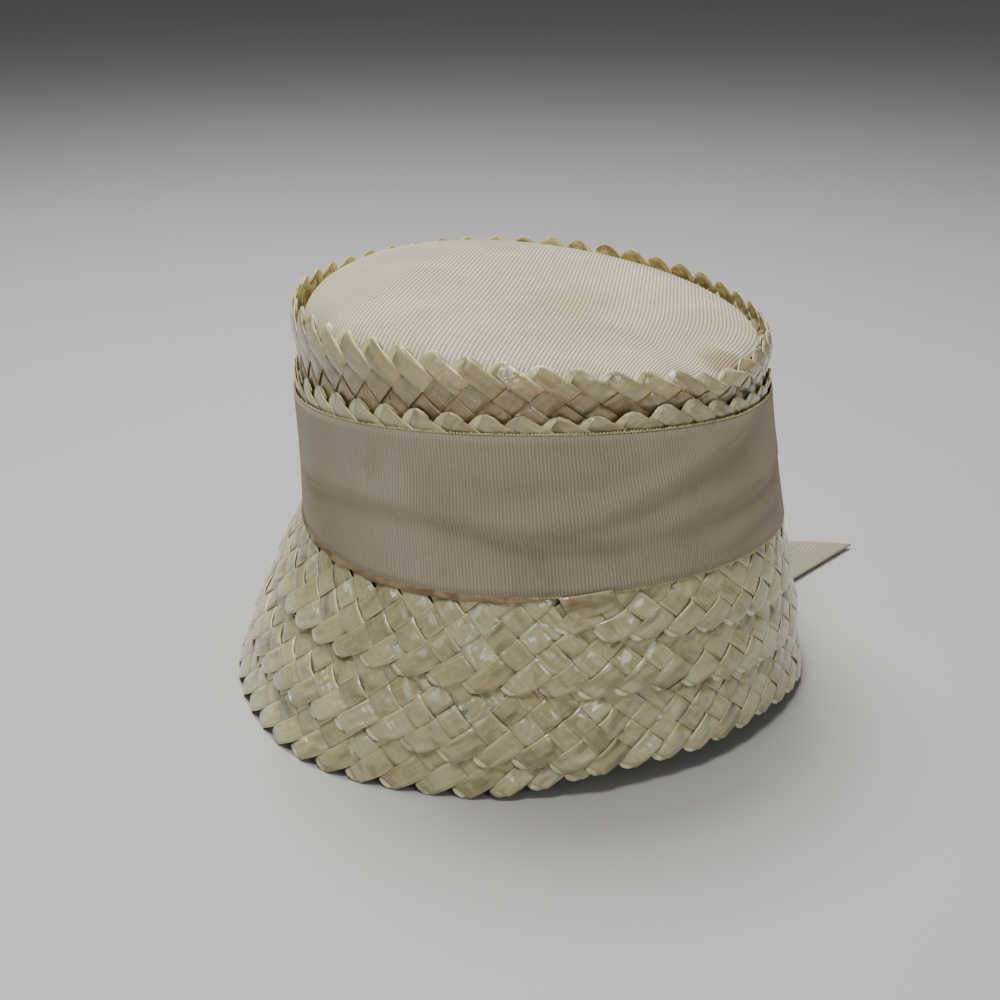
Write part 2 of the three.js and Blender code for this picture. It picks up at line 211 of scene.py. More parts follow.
# %% Camera
CAMERA_TURN, CAMERA_PITCH, CAMERA_PLACE = 42, 22.55, (0.3551, -0.4076, 0.289)
LENS, SENSOR, NEAREST = 54, 36, 0.01


def shown(name, data):
    """An object of the scene with that data."""
    made = bpy.data.objects.new(name, data)
    bpy.context.collection.objects.link(made)
    return made


camera = shown("camera", bpy.data.cameras.new("camera"))
camera.data.lens, camera.data.sensor_width, camera.data.clip_start = LENS, SENSOR, NEAREST
camera.location = CAMERA_PLACE
camera.rotation_euler = (math.radians(90 - CAMERA_PITCH), 0, math.radians(CAMERA_TURN))
bpy.context.scene.camera = camera
print("camera is", round(camera.location.length, 3), "m from the middle of the brim")

# %% Floor and light
FLOOR_REACH, FLOOR_DROP = 6, 0.0006
LIT_POINT = Vector((0, 0, 0.08))
LIGHTS = {  # place, size in metres, watts, colour
    "overhead": ((-0.4, 0.2, 1.25), 0.5, 18, (1, 0.98, 0.95)),
    "high window": ((0.18, -0.42, 1.32), 0.3, 8.0, (1, 0.99, 0.97)),
    "low window": ((0.0, -1.35, 0.6), 0.34, 1.2, (1, 0.99, 0.97)),
    "far window": ((1.2, -0.35, 0.6), 0.3, 2.0, (1, 0.99, 0.97)),
}
ROOM = {"Color": (0.78, 0.78, 0.8, 1), "Strength": 0.15}

floor = shown("floor", bpy.data.meshes.new("floor"))
corners = [(x * FLOOR_REACH, y * FLOOR_REACH, 0) for x, y in ((-1, -1), (1, -1), (1, 1), (-1, 1))]
floor.data.from_pydata(corners, [], [(0, 1, 2, 3)])
floor.location.z = -FLOOR_DROP
floor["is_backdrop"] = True
for name, (place, size, power, tint) in LIGHTS.items():
    lamp = shown(name, bpy.data.lights.new(name, "AREA"))
    lamp.data.size, lamp.data.energy, lamp.data.color = size, power, tint
    lamp.location = place
    lamp.rotation_euler = (LIT_POINT - Vector(place)).to_track_quat("-Z", "Y").to_euler()
world = bpy.data.worlds.new("room")
world.use_nodes = True
for key, value in ROOM.items():
    world.node_tree.nodes["Background"].inputs[key].default_value = value
bpy.context.scene.world = world
print("lights:", ", ".join(LIGHTS))

# %% [markdown]
# ## Writing nodes as expressions
#
# A material is a web of nodes, and so is a tree that lays a pattern. A sum of three terms is already five
# nodes. A small class wraps a socket and turns + - * / into Math nodes, so a finish reads like the thought
# behind it.

# %% Signals


class Signal:
    """A number that varies over a surface, or from point to point."""

    def __init__(self, graph, socket):
        self.graph, self.socket = graph, socket

    def math(self, operation, *values):
        return self.graph.node("ShaderNodeMath", {"operation": operation}, dict(enumerate(values)))

    def __add__(self, other):
        return self.math("ADD", self, other)

    def __sub__(self, other):
        return self.math("SUBTRACT", self, other)

    def __rsub__(self, other):
        return self.math("SUBTRACT", other, self)

    def __mul__(self, other):
        return self.math("MULTIPLY", self, other)

    def __truediv__(self, other):
        return self.math("DIVIDE", self, other)

    __radd__ = __add__
    __rmul__ = __mul__

    def size(self):
        return self.math("ABSOLUTE", self)

    def wrapped(self):
        return self.math("FRACT", self)

    def off_centre(self):
        """How far the fraction is from a half: 0.5 where the number is whole, 0 midway."""
        return (self.wrapped() - 0.5).size()

    def between(self, low, high):
        """0 below low, 1 above high, and a soft step between them."""
        sockets = {0: self, 1: low, 2: high, 3: 0.0, 4: 1.0}
        return self.graph.node("ShaderNodeMapRange", {"interpolation_type": "SMOOTHSTEP"}, sockets)


def in_use(sockets, key):
    """A node's socket, by its number, or by its name among those that the node's settings leave in use."""
    return sockets[key] if isinstance(key, int) else next(s for s in sockets if s.name == key and s.enabled)


class Graph:
    """A web of nodes, and one method that adds any node to it."""

    def __init__(self, tree):
        self.tree = tree

    def node(self, kind, settings=None, sockets=None, output=0):
        made = self.tree.nodes.new(kind)
        for key, value in (settings or {}).items():
            setattr(made, key, value)
        for key, value in (sockets or {}).items():
            if isinstance(value, Signal):
                self.tree.links.new(value.socket, in_use(made.inputs, key))
            else:
                in_use(made.inputs, key).default_value = value
        return Signal(self, in_use(made.outputs, output)) if made.outputs else None

    def vector(self, x=0.0, y=0.0, z=0.0):
        return self.node("ShaderNodeCombineXYZ", {}, {0: x, 1: y, 2: z})


# %% Finishes


def colour(red, green, blue):
    """A colour from its everyday 0 to 255 values."""
    linear = [((v / 255 + 0.055) / 1.055) ** 2.4 if v > 10 else v / 255 / 12.92 for v in (red, green, blue)]
    return (*linear, 1)


class Finish(Graph):
    """One material."""

    def __init__(self, name):
        self.material = bpy.data.materials.new(name)
        self.material.use_nodes = True
        super().__init__(self.material.node_tree)
        self.tree.nodes.clear()

    def parts(self, vector):
        return [self.node("ShaderNodeSeparateXYZ", {}, {0: vector}, i) for i in range(3)]

    def place(self):
        """Where the point is in the row's frame, in metres."""
        return self.node("ShaderNodeTexCoord", output="Object")

    def flat(self):
        """Where the point is on the piece's own flat pattern, as its two parts."""
        return self.parts(self.node("ShaderNodeTexCoord", output="UV"))[:2]

    def attribute(self, name):
        return self.node("ShaderNodeAttribute", {"attribute_name": name}, output="Fac")

    def noise(self, vector, scale, detail=2.0, rough=0.5):
        sockets = {"Vector": vector, "Scale": scale, "Detail": detail, "Roughness": rough}
        return self.node("ShaderNodeTexNoise", {}, sockets)

    def mix(self, share, first, second):
        return self.node("ShaderNodeMix", {"data_type": "RGBA"}, {0: share, 6: first, 7: second}, 2)

    def bump(self, height, distance, strength=1.0, below=None):
        sockets = {"Height": height, "Distance": distance, "Strength": strength}
        if below is not None:
            sockets["Normal"] = below
        return self.node("ShaderNodeBump", {}, sockets)

    def spot(self, centre, reach, ragged=0.35, seed=0.0):
        """A soft-edged stain round a point, 1 in its middle."""
        where = self.place()
        away = self.node("ShaderNodeVectorMath", {"operation": "DISTANCE"}, {0: where, 1: centre}, "Value")
        rough_edge = self.noise(where, 260.0 + seed, 3.0, 0.6)
        return 1 - (away / reach + ragged * rough_edge).between(0.55, 1.05)

    def close(self, base, roughness, normal=None, **constants):
        """Join the finish to the surface. What is the same all over is set on the shader's own sockets."""
        sockets = {"Base Color": base, "Roughness": roughness}
        if normal is not None:
            sockets["Normal"] = normal
        sockets.update({key.replace("_", " "): value for key, value in constants.items()})
        shader = self.node("ShaderNodeBsdfPrincipled", {}, sockets)
        self.node("ShaderNodeOutputMaterial", {}, {"Surface": shader})
        print(self.material.name, "has", len(self.tree.nodes), "nodes")
        return self.material


print("node helpers are ready")

# %% [markdown]
# ## Floor finish
#
# A pale, almost even grey. A trace of mottling keeps it from looking like a void.

# %% Floor finish
finish = Finish("pale floor")
mottle = finish.noise(finish.place(), 2.0, 3.0)
floor_colour = finish.mix(mottle, colour(188, 186, 184), colour(198, 196, 194))
floor.data.materials.append(finish.close(floor_colour, 0.75))

# %% [markdown]
# ## Straw
#
# Split straw is flat, hard and glossy. Fibres run along each strand as fine streaks of light and shade, the
# thin edges are painted yellower and paler than the face, partly their own colour and partly painted light,
# and each strand took the dye and the years a little differently. The streaks follow the strand's own flat
# pattern, so they turn with it through the plait. The mesh carries one random number for each cell of the
# plait, which shifts tone and streaks. It also says which cells of the crown's rows are painted darker, as
# painted shade under the teeth together with some soiling, and what lies behind: the folds at the straps'
# backs and every underside, painted paler as a painted glow of light shining through. Light goes a little way
# into straw, and a clear coat gives its satin highlights.

# %% Straw finish
STRAW_TONES = colour(178, 166, 121), colour(206, 197, 154)
# The pale edge tone is painted light: light caught by the thin edges, and a glow on the backs and undersides.
# The soil tone is painted shade, with some soiling, for the tiers under the crown's teeth.
FIBRE_TONE, EDGE_AND_GLOW_TONE, SHADE_AND_SOIL_TONE = colour(160, 142, 94), colour(246, 235, 186), colour(138, 116, 76)
HOLLOW_DARK_TONE, START_STAIN = colour(140, 118, 70), colour(176, 122, 68)
FACET_DEPTH, CRUMPLE_DEPTH, FIBRE_DEPTH = 0.0075, 0.0025, 0.00017

finish = Finish("split straw")
along, across = finish.flat()
cell, painted_glow, shade_and_soil = (finish.attribute(name) for name in ("cell", "painted_glow", "shade_and_soil"))
streak = finish.noise(finish.vector(along * 0.6, across * 13.0, cell * 40.0), 1.0, 2.0)
fibre = finish.noise(finish.vector(along * 0.9, across * 34.0, cell * 40.0), 1.0, 1.0)
patch = finish.noise(finish.place(), 42.0, 2.0)
crumple = finish.noise(finish.vector(along * 0.9, across * 1.5, cell * 50.0), 1.0, 1.0, 0.4)
pleat = finish.noise(finish.vector(along * 5.0, across * 1.5, cell * 60.0), 1.0, 1.0)
slope_along, slope_across = (cell * 7.13).wrapped() - 0.5, (cell * 17.9).wrapped() - 0.5
edge = (across.size() * 10.0).between(3.2, 3.9)
tone = (streak * 0.5 + cell * 0.3 + patch * 0.5).between(0.3, 1.0)
straw_colour = finish.mix(tone, *STRAW_TONES)
straw_colour = finish.mix(fibre.between(0.6, 0.8) * 0.18, straw_colour, FIBRE_TONE)
# Painted light: the edges partly, and the backs and undersides fully, are painted pale, as light caught and
# shining through.
straw_colour = finish.mix(edge * 0.6 + painted_glow * 0.85, straw_colour, EDGE_AND_GLOW_TONE)
# Painted shade with some soiling: the crown's lower tiers are painted darker brown.
straw_colour = finish.mix(shade_and_soil * (0.5 + 0.3 * patch), straw_colour, SHADE_AND_SOIL_TONE)
start_stain = finish.spot(tuple(brim_point(-43.5, 1.2 * MM, 3 * MM)), 4 * MM, 0.4)
# A darker brown over the middle of the folded start, where its hollow lies.
hollow_darkening = finish.spot(tuple(brim_point(-40.5, 3.8 * MM, 3 * MM)), 5.5 * MM, 0.3, 5.0)
straw_colour = finish.mix(hollow_darkening * 0.2, straw_colour, HOLLOW_DARK_TONE)
straw_colour = finish.mix(start_stain * 0.35, straw_colour, START_STAIN)
straw_bump = finish.bump(slope_along * along + slope_across * across, FACET_DEPTH)
straw_bump = finish.bump(crumple.between(0.25, 0.75) + pleat * 0.3, CRUMPLE_DEPTH, 0.95, straw_bump)
straw_bump = finish.bump(streak * 0.6 + fibre * 0.3, FIBRE_DEPTH, 0.6, straw_bump)
straw = finish.close(
    straw_colour, 0.19 + 0.14 * streak + 0.06 * cell, straw_bump, Specular_IOR_Level=0.65, Coat_Weight=1.0,
    Coat_Roughness=0.11, Subsurface_Weight=0.45, Subsurface_Radius=(1.0, 0.75, 0.35), Subsurface_Scale=0.0012
)

# %% [markdown]
# ## Strands of the plait
#
# Seen close, the braid is a plain weave on the bias. Its crossings lie in four tiers across the width, and in
# each tier the same way of strand is on top: leaning left, right, left, right. At the two outer tiers the
# strand folds over itself and turns back, which makes the toothed edges. One strand could be swept along its
# whole zigzag, but the visible part of it is always the same short strap, so a few straps are modelled with
# care and laid thousands of times.
#
# A strap is a thin closed slab: long samples where it dips under its neighbours, a flat face between, edges
# curled down a little.

# %% A strap
PITCH = 12.0
TIER_STEP = 5.95
STRAP_LEAN = math.atan2(TIER_STEP, PITCH / 2)
CELL = PITCH * math.sin(STRAP_LEAN)
WAVE = 0.47
STRAW_THICKNESS = 0.34
EDGE_CURL = 0.16
FLAT_UNIT = 10
SKEW = 0.1
HALF_THICKNESS = np.array([0, 0, STRAW_THICKNESS / 2])
ACROSS = np.array([-0.5, -0.34, 0.34, 0.5])


def slab(front, rear, flats):
    """A closed slab between two grids of points (rows, columns, 3), with its flat pattern."""
    rows, columns, _ = front.shape
    verts = np.concatenate([front.reshape(-1, 3), rear.reshape(-1, 3)])
    top = lambda i, j: i * columns + j
    low = lambda i, j: rows * columns + i * columns + j
    faces = []
    for i in range(rows - 1):
        for j in range(columns - 1):
            faces.append((top(i, j), top(i + 1, j), top(i + 1, j + 1), top(i, j + 1)))
            faces.append((low(i, j), low(i, j + 1), low(i + 1, j + 1), low(i + 1, j)))
    last = columns - 1
    for i in range(rows - 1):
        faces.append((top(i + 1, 0), top(i, 0), low(i, 0), low(i + 1, 0)))
        faces.append((top(i, last), top(i + 1, last), low(i + 1, last), low(i, last)))
    last = rows - 1
    for j in range(columns - 1):
        faces.append((top(0, j), top(0, j + 1), low(0, j + 1), low(0, j)))
        faces.append((top(last, j + 1), top(last, j), low(last, j), low(last, j + 1)))
    return verts, faces, np.concatenate([flats.reshape(-1, 2)] * 2)


print("a crossing is", round(CELL, 2), "mm wide and leans", round(math.degrees(STRAP_LEAN), 1), "degrees")

# %% [markdown]
# Three straps are needed, and each is made in a few slightly crumpled versions, so that no two neighbours
# catch the light alike. The plain one crosses over once and dips under at both ends. The folded one ends at
# the braid's edge. The third is the part of the folded strand that comes up from behind.

# %% The shapes of the straps
PLAIN_ALONG = CELL * np.array([-0.98, -0.68, -0.55, -0.42, -0.3, -0.12, 0.12, 0.3, 0.42, 0.55, 0.68, 0.98])
PLAIN_HEIGHT = np.array([0.15, 0, 0.12, 0.68, 0.88, 1, 1, 0.88, 0.68, 0.12, 0, 0.15])
FOLDED_LEAN = math.radians(41.5)
FLAP_SHARES = np.array([0, 0.55, 0.9, 1])
# A folded strap's rows: place along it, height, width, drift to one side, and how far its cut end slants.
FOLDED_ALONG, FOLDED_HEIGHT, FOLDED_WIDTH, FOLDED_DRIFT, FOLDED_SLANT = np.array([
    [-9.9, -9.7, -9.0, -7.0, -4.4, -1.5, 2.6, 3.5, 4.5, 5.6, 8.1],
    [0.2, 0.4, 0.66, 0.86, 1.0, 1.04, 0.9, 0.7, 0.12, 0, 0.15],
    [5.4, 6.3, 6.8, 7.2, 7.6, 7.9, 8.1, 8.1, 8.0, 7.8, 7.6],
    [0.8, 0.78, 0.75, 0.65, 0.4, 0.1, 0, 0, 0, 0, 0],
    [1, 1, 0.9, 0.64, 0.27, 0, 0, 0, 0, 0, 0],
])
# The outer and inner line of the fold behind a tooth, in millimetres from the crossing. On the brim the fold
# is a thin lens along the strap's cut end, on the crown a round arch that makes the tooth's other side.
BRIM_FLAP = (
    [(-5.7, -7.8), (-7.9, -7.9), (-9.7, -6.9), (-10.9, -5.4), (-10.6, -4.0)],
    [(-5.0, -6.0), (-6.4, -5.6), (-7.5, -4.8), (-8.2, -3.8), (-8.6, -3.0)],
)
CROWN_FLAP = (
    [(-1.4, -6.0), (-3.4, -7.9), (-5.7, -8.9), (-8.3, -8.3), (-10.7, -6.4), (-12.7, -3.9), (-14.3, -1.2)],
    [(-2.6, -4.4), (-4.2, -5.6), (-5.8, -6.0), (-7.2, -5.0), (-8.8, -3.2), (-10.6, -1.2), (-12.0, 1.0)],
)


def bent(s, w, drift, lean, rng):
    """Places of a strap's samples: s along it and w across it, with a little crumpling of its own."""
    wave = rng.uniform(-1, 1, 4)
    z = 0.07 * wave[0] * np.sin(0.5 * s + 3 * wave[1]) + 0.022 * wave[2] * w * np.cos(0.35 * s + 3 * wave[3])
    w = w + drift
    cosine, sine = math.cos(lean), math.sin(lean)
    return np.stack([s * cosine - w * sine, s * sine + w * cosine, z], axis=-1)


def straw_slab(points, s, w, painted_glow):
    """A slab round its middle points, s and w its pattern; the last value marks a back fold for the painted
    glow.
    """
    return *slab(points + HALF_THICKNESS, points - HALF_THICKNESS, np.stack([s, w], -1) / FLAT_UNIT), painted_glow


def strap_slab(s, w, height, drift, lean, rng):
    """A strap's slab, its face raised and dipped by height and its edges curled down."""
    points = bent(s, w, drift, lean, rng)
    points[..., 2] += WAVE * (2 * height[:, None] - 1) - EDGE_CURL * (np.abs(ACROSS) > 0.4)
    return straw_slab(points, s, w, 0.0)


def plain_strap(rng):
    half = CELL * (0.955 + 0.03 * rng.uniform(-1, 1))
    s, w = np.meshgrid(PLAIN_ALONG, ACROSS * half, indexing="ij")
    return [strap_slab(s, w, PLAIN_HEIGHT, 0, STRAP_LEAN, rng)]


def folded_strap(rng, flap, cut):
    """A strap that ends at a tooth, cut on a slant, and the fold that comes up at its back, with the painted
    glow.
    """
    drift = FOLDED_DRIFT * (1 + 0.5 * rng.uniform(-1, 1))
    w = FOLDED_WIDTH[:, None] * ACROSS
    s = FOLDED_ALONG[:, None] * (1 + 0.03 * rng.uniform(-1, 1)) - (cut * FOLDED_SLANT)[:, None] * w
    front = strap_slab(s, w, FOLDED_HEIGHT, drift[:, None], FOLDED_LEAN, rng)
    outer, inner = (np.array(line)[:, None] for line in flap)
    points = np.zeros((len(outer), len(FLAP_SHARES), 3))
    points[..., :2] = inner + (outer - inner) * FLAP_SHARES[:, None]
    points[..., 2] = -0.2 - 0.3 * FLAP_SHARES**3 + 0.08 * rng.uniform(-1, 1)
    s, w = np.meshgrid(2.5 * np.arange(len(outer)), 3.9 * FLAP_SHARES, indexing="ij")
    return [front, straw_slab(points, s, w, 1.0)]


print("strap shapes: plain, folded with its back")

# %% [markdown]
# The two ways of leaning are mirror images. Mirroring turns faces inside out, so their corners are listed the
# other way round. Each finished strap becomes a small template object in a collection of its own; the plait
# picks from that collection by number, three versions to a tier.

# %% Templates
VERSIONS = 3
template_box = bpy.data.collections.new("strands")


def smooth_mesh(name, verts, faces, pattern=None, material=None):
    """A smooth mesh. pattern is the flat place of each face's corner, in order."""
    mesh = bpy.data.meshes.new(name)
    mesh.from_pydata(verts, [], faces)
    mesh.polygons.foreach_set("use_smooth", [True] * len(faces))
    if pattern is not None:
        mesh.uv_layers.new(name="flat").data.foreach_set("uv", np.array(pattern, float).ravel())
    if material:
        mesh.materials.append(material)
    return mesh


def by_corner(flats, faces):
    """The flat places of the corners of faces, from those of the vertices."""
    return np.array(flats)[[corner for face in faces for corner in face]]


def add_template(name, parts, mirrored):
    verts, faces, flats, painted_glow_values = [], [], [], []
    for part_verts, part_faces, part_flats, painted_glow_share in parts:
        start = len(verts)
        for x, y, z in part_verts * np.array([MM, -MM if mirrored else MM, MM]):
            verts.append((x - SKEW * y, y, z))
        for face in part_faces:
            corners = [start + k for k in face]
            faces.append(corners[::-1] if mirrored else corners)
        flats.extend(part_flats)
        half = len(part_verts) // 2
        # The lower half of the points is the slab's underside, always marked for the painted glow.
        painted_glow_values.extend([painted_glow_share] * half + [1.0] * half)
    mesh = smooth_mesh(name, verts, faces, by_corner(flats, faces))
    mesh.attributes.new("painted_glow", "FLOAT", "POINT").data.foreach_set("value", painted_glow_values)
    template_box.objects.link(bpy.data.objects.new(name, mesh))


rng = np.random.default_rng(11)
for version in range(VERSIONS):
    add_template(f"strand_0_{version}", folded_strap(rng, CROWN_FLAP, -0.2), True)
    add_template(f"strand_1_{version}", plain_strap(rng), False)
    add_template(f"strand_2_{version}", plain_strap(rng), True)
    add_template(f"strand_3_{version}", folded_strap(rng, BRIM_FLAP, 0.22), False)

# %% [markdown]
# ## Laying the plait
#
# Points say where each crossing is, which kind of strap lies on top, how loose it is and how much painted
# shade, with some soiling, darkens it. Geometry Nodes puts a strap on each of them, tilts it by a hair, stores
# the cell's random number and turns the lot into one mesh. Every amount is an input of the tree, and the seed
# is fixed.

# %% A tree that lays things


class Layer(Graph):
    """A geometry tree. Its inputs are given as name: (kind of socket, value)."""

    def __init__(self, name, inputs):
        super().__init__(bpy.data.node_groups.new(name, "GeometryNodeTree"))
        self.identifiers = {}
        for key, (kind, value) in inputs.items():
            item = self.tree.interface.new_socket(key, in_out="INPUT", socket_type="NodeSocket" + kind)
            if value is not None:
                item.default_value = value
            self.identifiers[key] = item.identifier
        self.tree.interface.new_socket("Geometry", in_out="OUTPUT", socket_type="NodeSocketGeometry")
        entry = self.tree.nodes.new("NodeGroupInput").outputs
        self.given = {key: Signal(self, entry[key]) for key in inputs}

    def stored(self, name, kind):
        """What the points carry under a name."""
        return self.node("GeometryNodeInputNamedAttribute", {"data_type": kind}, {"Name": name}, "Attribute")

    def random(self, kind, low, high, seed):
        sockets = {"Min": low, "Max": high, "Seed": seed}
        return self.node("FunctionNodeRandomValue", {"data_type": kind}, sockets, "Value")

    def close(self, instances):
        """Make the instances real, because the export drops them, and give them the finish."""
        real = self.node("GeometryNodeRealizeInstances", {}, {"Geometry": instances})
        sockets = {"Geometry": real, "Material": self.given["Finish"]}
        dressed = self.node("GeometryNodeSetMaterial", {}, sockets)
        self.tree.links.new(dressed.socket, self.tree.nodes.new("NodeGroupOutput").inputs[0])
        print(self.tree.name, "has", len(self.tree.nodes), "nodes")

    def run(self, name, points, stored, values):
        """A piece: the plain mesh that the tree makes of points, which carry the stored lists."""
        mesh = bpy.data.meshes.new(name)
        mesh.from_pydata(points, [], [])
        for key, (kind, field, numbers) in stored.items():
            mesh.attributes.new(key, kind, "POINT").data.foreach_set(field, numbers)
        piece = shown(name, mesh)
        layer = piece.modifiers.new("lay", "NODES")
        layer.node_group = self.tree
        for key, value in values.items():
            layer[self.identifiers[key]] = value
        depsgraph = bpy.context.evaluated_depsgraph_get()
        made = bpy.data.meshes.new_from_object(
            piece.evaluated_get(depsgraph), preserve_all_data_layers=True, depsgraph=depsgraph
        )
        piece.modifiers.clear()
        piece.data = made
        bpy.data.meshes.remove(mesh)
        made.name = name
        return piece


print("the layer of strands and loops is ready")

# %% Laying strands
lay = Layer("lay strands", {
    "Geometry": ("Geometry", None), "Strands": ("Collection", None), "Finish": ("Material", None),
    "Tilt": ("Float", 0.05), "Lift": ("Float", 0.0001), "Seed": ("Int", 3),
})
given = lay.given
seeds = [given["Seed"] + n for n in range(4)]
which = lay.stored("kind", "INT") + lay.random("INT", 0, VERSIONS - 1, seeds[0])
sockets = {"Collection": given["Strands"], "Separate Children": True, "Reset Children": True}
strands = lay.node("GeometryNodeCollectionInfo", {}, sockets)
sockets = {"Points": given["Geometry"], "Instance": strands, "Pick Instance": True, "Instance Index": which}
placed = lay.node("GeometryNodeInstanceOnPoints", {}, sockets)
tilts = [lay.random("FLOAT", given["Tilt"] * -1, given["Tilt"], seed) for seed in seeds[1:3]]
sockets = {0: lay.vector(*tilts), "Scale": lay.stored("loose", "FLOAT")}
tilt = lay.node("ShaderNodeVectorMath", {"operation": "SCALE"}, sockets)
sockets = {"Instances": placed, "Rotation": tilt, "Local Space": True}
tilted = lay.node("GeometryNodeRotateInstances", {}, sockets)
lift = lay.vector(z=lay.random("FLOAT", given["Lift"] * -1, given["Lift"], seeds[3]))
sockets = {"Instances": tilted, "Translation": lift, "Local Space": True}
lifted = lay.node("GeometryNodeTranslateInstances", {}, sockets)
sockets = {"Geometry": lifted, "Name": "cell", "Value": lay.random("FLOAT", 0.0, 1.0, seeds[0])}
marked = lay.node("GeometryNodeStoreNamedAttribute", {"data_type": "FLOAT", "domain": "INSTANCE"}, sockets)
lay.close(marked)

# %% [markdown]
# The straps are laid flat, as if the braid lay on a table: x counts along it and y away from its toothed edge.
# Then every point of the flat plait is moved to its place on the hat, so the straps bend with the surface and
# step over the edges of the layers below.

# %% From crossings to a plaited piece
STRAP_TILT = 0.05
TOOTH_LOOSENESS = 0.3


def wear(piece, node=None):
    """Hide the solid whose place a piece takes, if any, and let the piece ride on the root body."""
    if node:
        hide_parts(node)
    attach(piece, "root")


def plait(name, crossings, surface, seed, shade_and_soil=(0, 0, 0, 0)):
    """crossings are (kind, teeth along, metres from the edge); surface(teeth, from_edge, out) is a place."""
    kinds = [kind for kind, _, _ in crossings]
    stored = {
        "kind": ("INT", "value", [kind * VERSIONS for kind in kinds]),
        "loose": ("FLOAT", "value", [TOOTH_LOOSENESS if kind in (0, 3) else 1.0 for kind in kinds]),
        # The third list is how much painted shade, with some soiling, each kind of strap gets.
        "shade_and_soil": ("FLOAT", "value", [shade_and_soil[kind] for kind in kinds]),
    }
    points = [(teeth * PITCH * MM, from_edge, 0) for _, teeth, from_edge in crossings]
    values = {"Strands": template_box, "Finish": straw, "Tilt": STRAP_TILT, "Seed": seed}
    piece = lay.run(name, points, stored, values)
    flat = np.empty(len(piece.data.vertices) * 3)
    piece.data.vertices.foreach_get("co", flat)
    x, y, z = flat.reshape(-1, 3).T
    piece.data.vertices.foreach_set("co", surface(x / (PITCH * MM), y, z).ravel())
    piece.data.update()
    triangles = sum(len(p.vertices) - 2 for p in piece.data.polygons)
    print(name, "has", len(crossings), "crossings and", triangles, "triangles")
    return piece


# Where the crossing of a toothed strap is, right of its tip and away from the edge, in millimetres.
BRIM_TIP = (5.2, 7.7)
CROWN_TIP = (7.0, 8.7)
BRIM_PITCH = 13.1


def crossing_places(tip, tier):
    """Teeth right of a tip, and metres from the edge, of a tier's crossing."""
    away = tip[1] + TIER_STEP * tier
    return (tip[0] / PITCH + 0.5 * (tier % 2), away * MM)


# %% [markdown]
# ## The brim's braid
#
# The braid starts under the band near the front, runs round three times and ends at the brim's edge. A table
# says how far down its toothed edge is at each turn. Each turn lies under the one above, so it starts close to
# the sewing line and ramps out by one layer before the next turn begins.

# %% The spiral
SPIRAL_START = -43
SPIRAL_TURNS = np.array([0, 0.035, 0.13, 0.5, 0.9, 0.967, 1.033, 1.13, 1.5, 1.9, 1.967, 2.033, 3.04])
SPIRAL_EDGE = np.array([0.2, 0.3, 0.374, 0.4, 0.43, 0.48, 0.583, 0.673, 0.72, 0.765, 0.833, 1, 1])
LAST_TURN = SPIRAL_TURNS[-1]
SEWING_MARGIN = 2 * MM
TUCK = 0.2 * BAND_WIDTH
TOOTH_DEPTH = 4.6 * MM
RAMP_LENGTH = 8 * MM
LAP = 0.02


def braid_edge(turns):
    return SLOPE * eased(turns, SPIRAL_TURNS, SPIRAL_EDGE)


def braid_top(turns):
    """Where the braid's plain edge is, under the teeth above, but clear of the turn before those."""
    under_teeth = np.where(turns >= 1, braid_edge(turns - 1) - TOOTH_DEPTH - SEWING_MARGIN, 0)
    clear_above = np.where(turns >= 2, braid_edge(turns - 2) + RAMP_LENGTH, -TUCK)
    top = np.minimum(braid_edge(turns) - BRAID_WIDTH, under_teeth)
    return np.maximum(top, np.maximum(-TUCK, clear_above))


def braid_out(turns, down):
    """How far the braid stands off the sewing line, at a way down."""
    edge, top = braid_edge(turns), braid_top(turns)
    width = edge - top
    below_first = np.clip((turns - 1) / LAP + 0.5, 0, 1)
    start = below_first * (braid_edge(turns - 1) + SEWING_MARGIN)
    start = np.clip(start, top + 0.03 * width, top + 0.6 * width)
    end = np.clip(braid_top(turns + 1) - SEWING_MARGIN, start + 0.1 * width, top + 0.9 * width)
    before_last = np.clip((LAST_TURN - 1 - turns) / LAP, 0, 1)
    return LAYER * before_last * np.clip((down - start) / (end - start), 0, 1)


tooth_turns = [0.0]
while tooth_turns[-1] < LAST_TURN:
    edge_radius = HEAD_RADIUS + (EDGE_LINE - HEAD_RADIUS) * braid_edge(tooth_turns[-1]) / SLOPE
    tooth_turns.append(tooth_turns[-1] + BRIM_PITCH * MM / (2 * math.pi * edge_radius))
last_tooth = len(tooth_turns) - 1
before, after = 2 * tooth_turns[0] - tooth_turns[1], 2 * tooth_turns[-1] - tooth_turns[-2]
TOOTH_TURNS = np.array([before, *tooth_turns, after])
TOOTH_NUMBERS = np.arange(-1, last_tooth + 2)


def on_brim(teeth, from_edge, out):
    turns = np.interp(teeth, TOOTH_NUMBERS, TOOTH_TURNS)
    down = braid_edge(turns) - from_edge
    return brim_point(SPIRAL_START + 360 * turns, down, braid_out(turns, down) + BRAID_THICKNESS / 2 + out)


BRIM_TIERS = 6
TUCKED_TO = -8.5 * MM
crossings = []
for tooth in range(last_tooth - 1):
    for tier in range(BRIM_TIERS):
        shift, from_edge = crossing_places(BRIM_TIP, tier)
        teeth = tooth + shift - SKEW * TIER_STEP * tier / PITCH
        turns = np.interp(teeth, TOOTH_NUMBERS, TOOTH_TURNS)
        if braid_edge(turns) - from_edge >= max(braid_top(turns), TUCKED_TO):
            crossings.append((3 if tier == 0 else 1 + tier % 2, teeth, from_edge))
brim = plait("brim_plait", crossings, on_brim, 5)
wear(brim, "brim_braid")
print("the brim has", last_tooth, "teeth")

# %% [markdown]
# The braid's cut start is turned in under the band: one strap lies over the plait, a little hollow along its
# middle, with its edges rolled in.

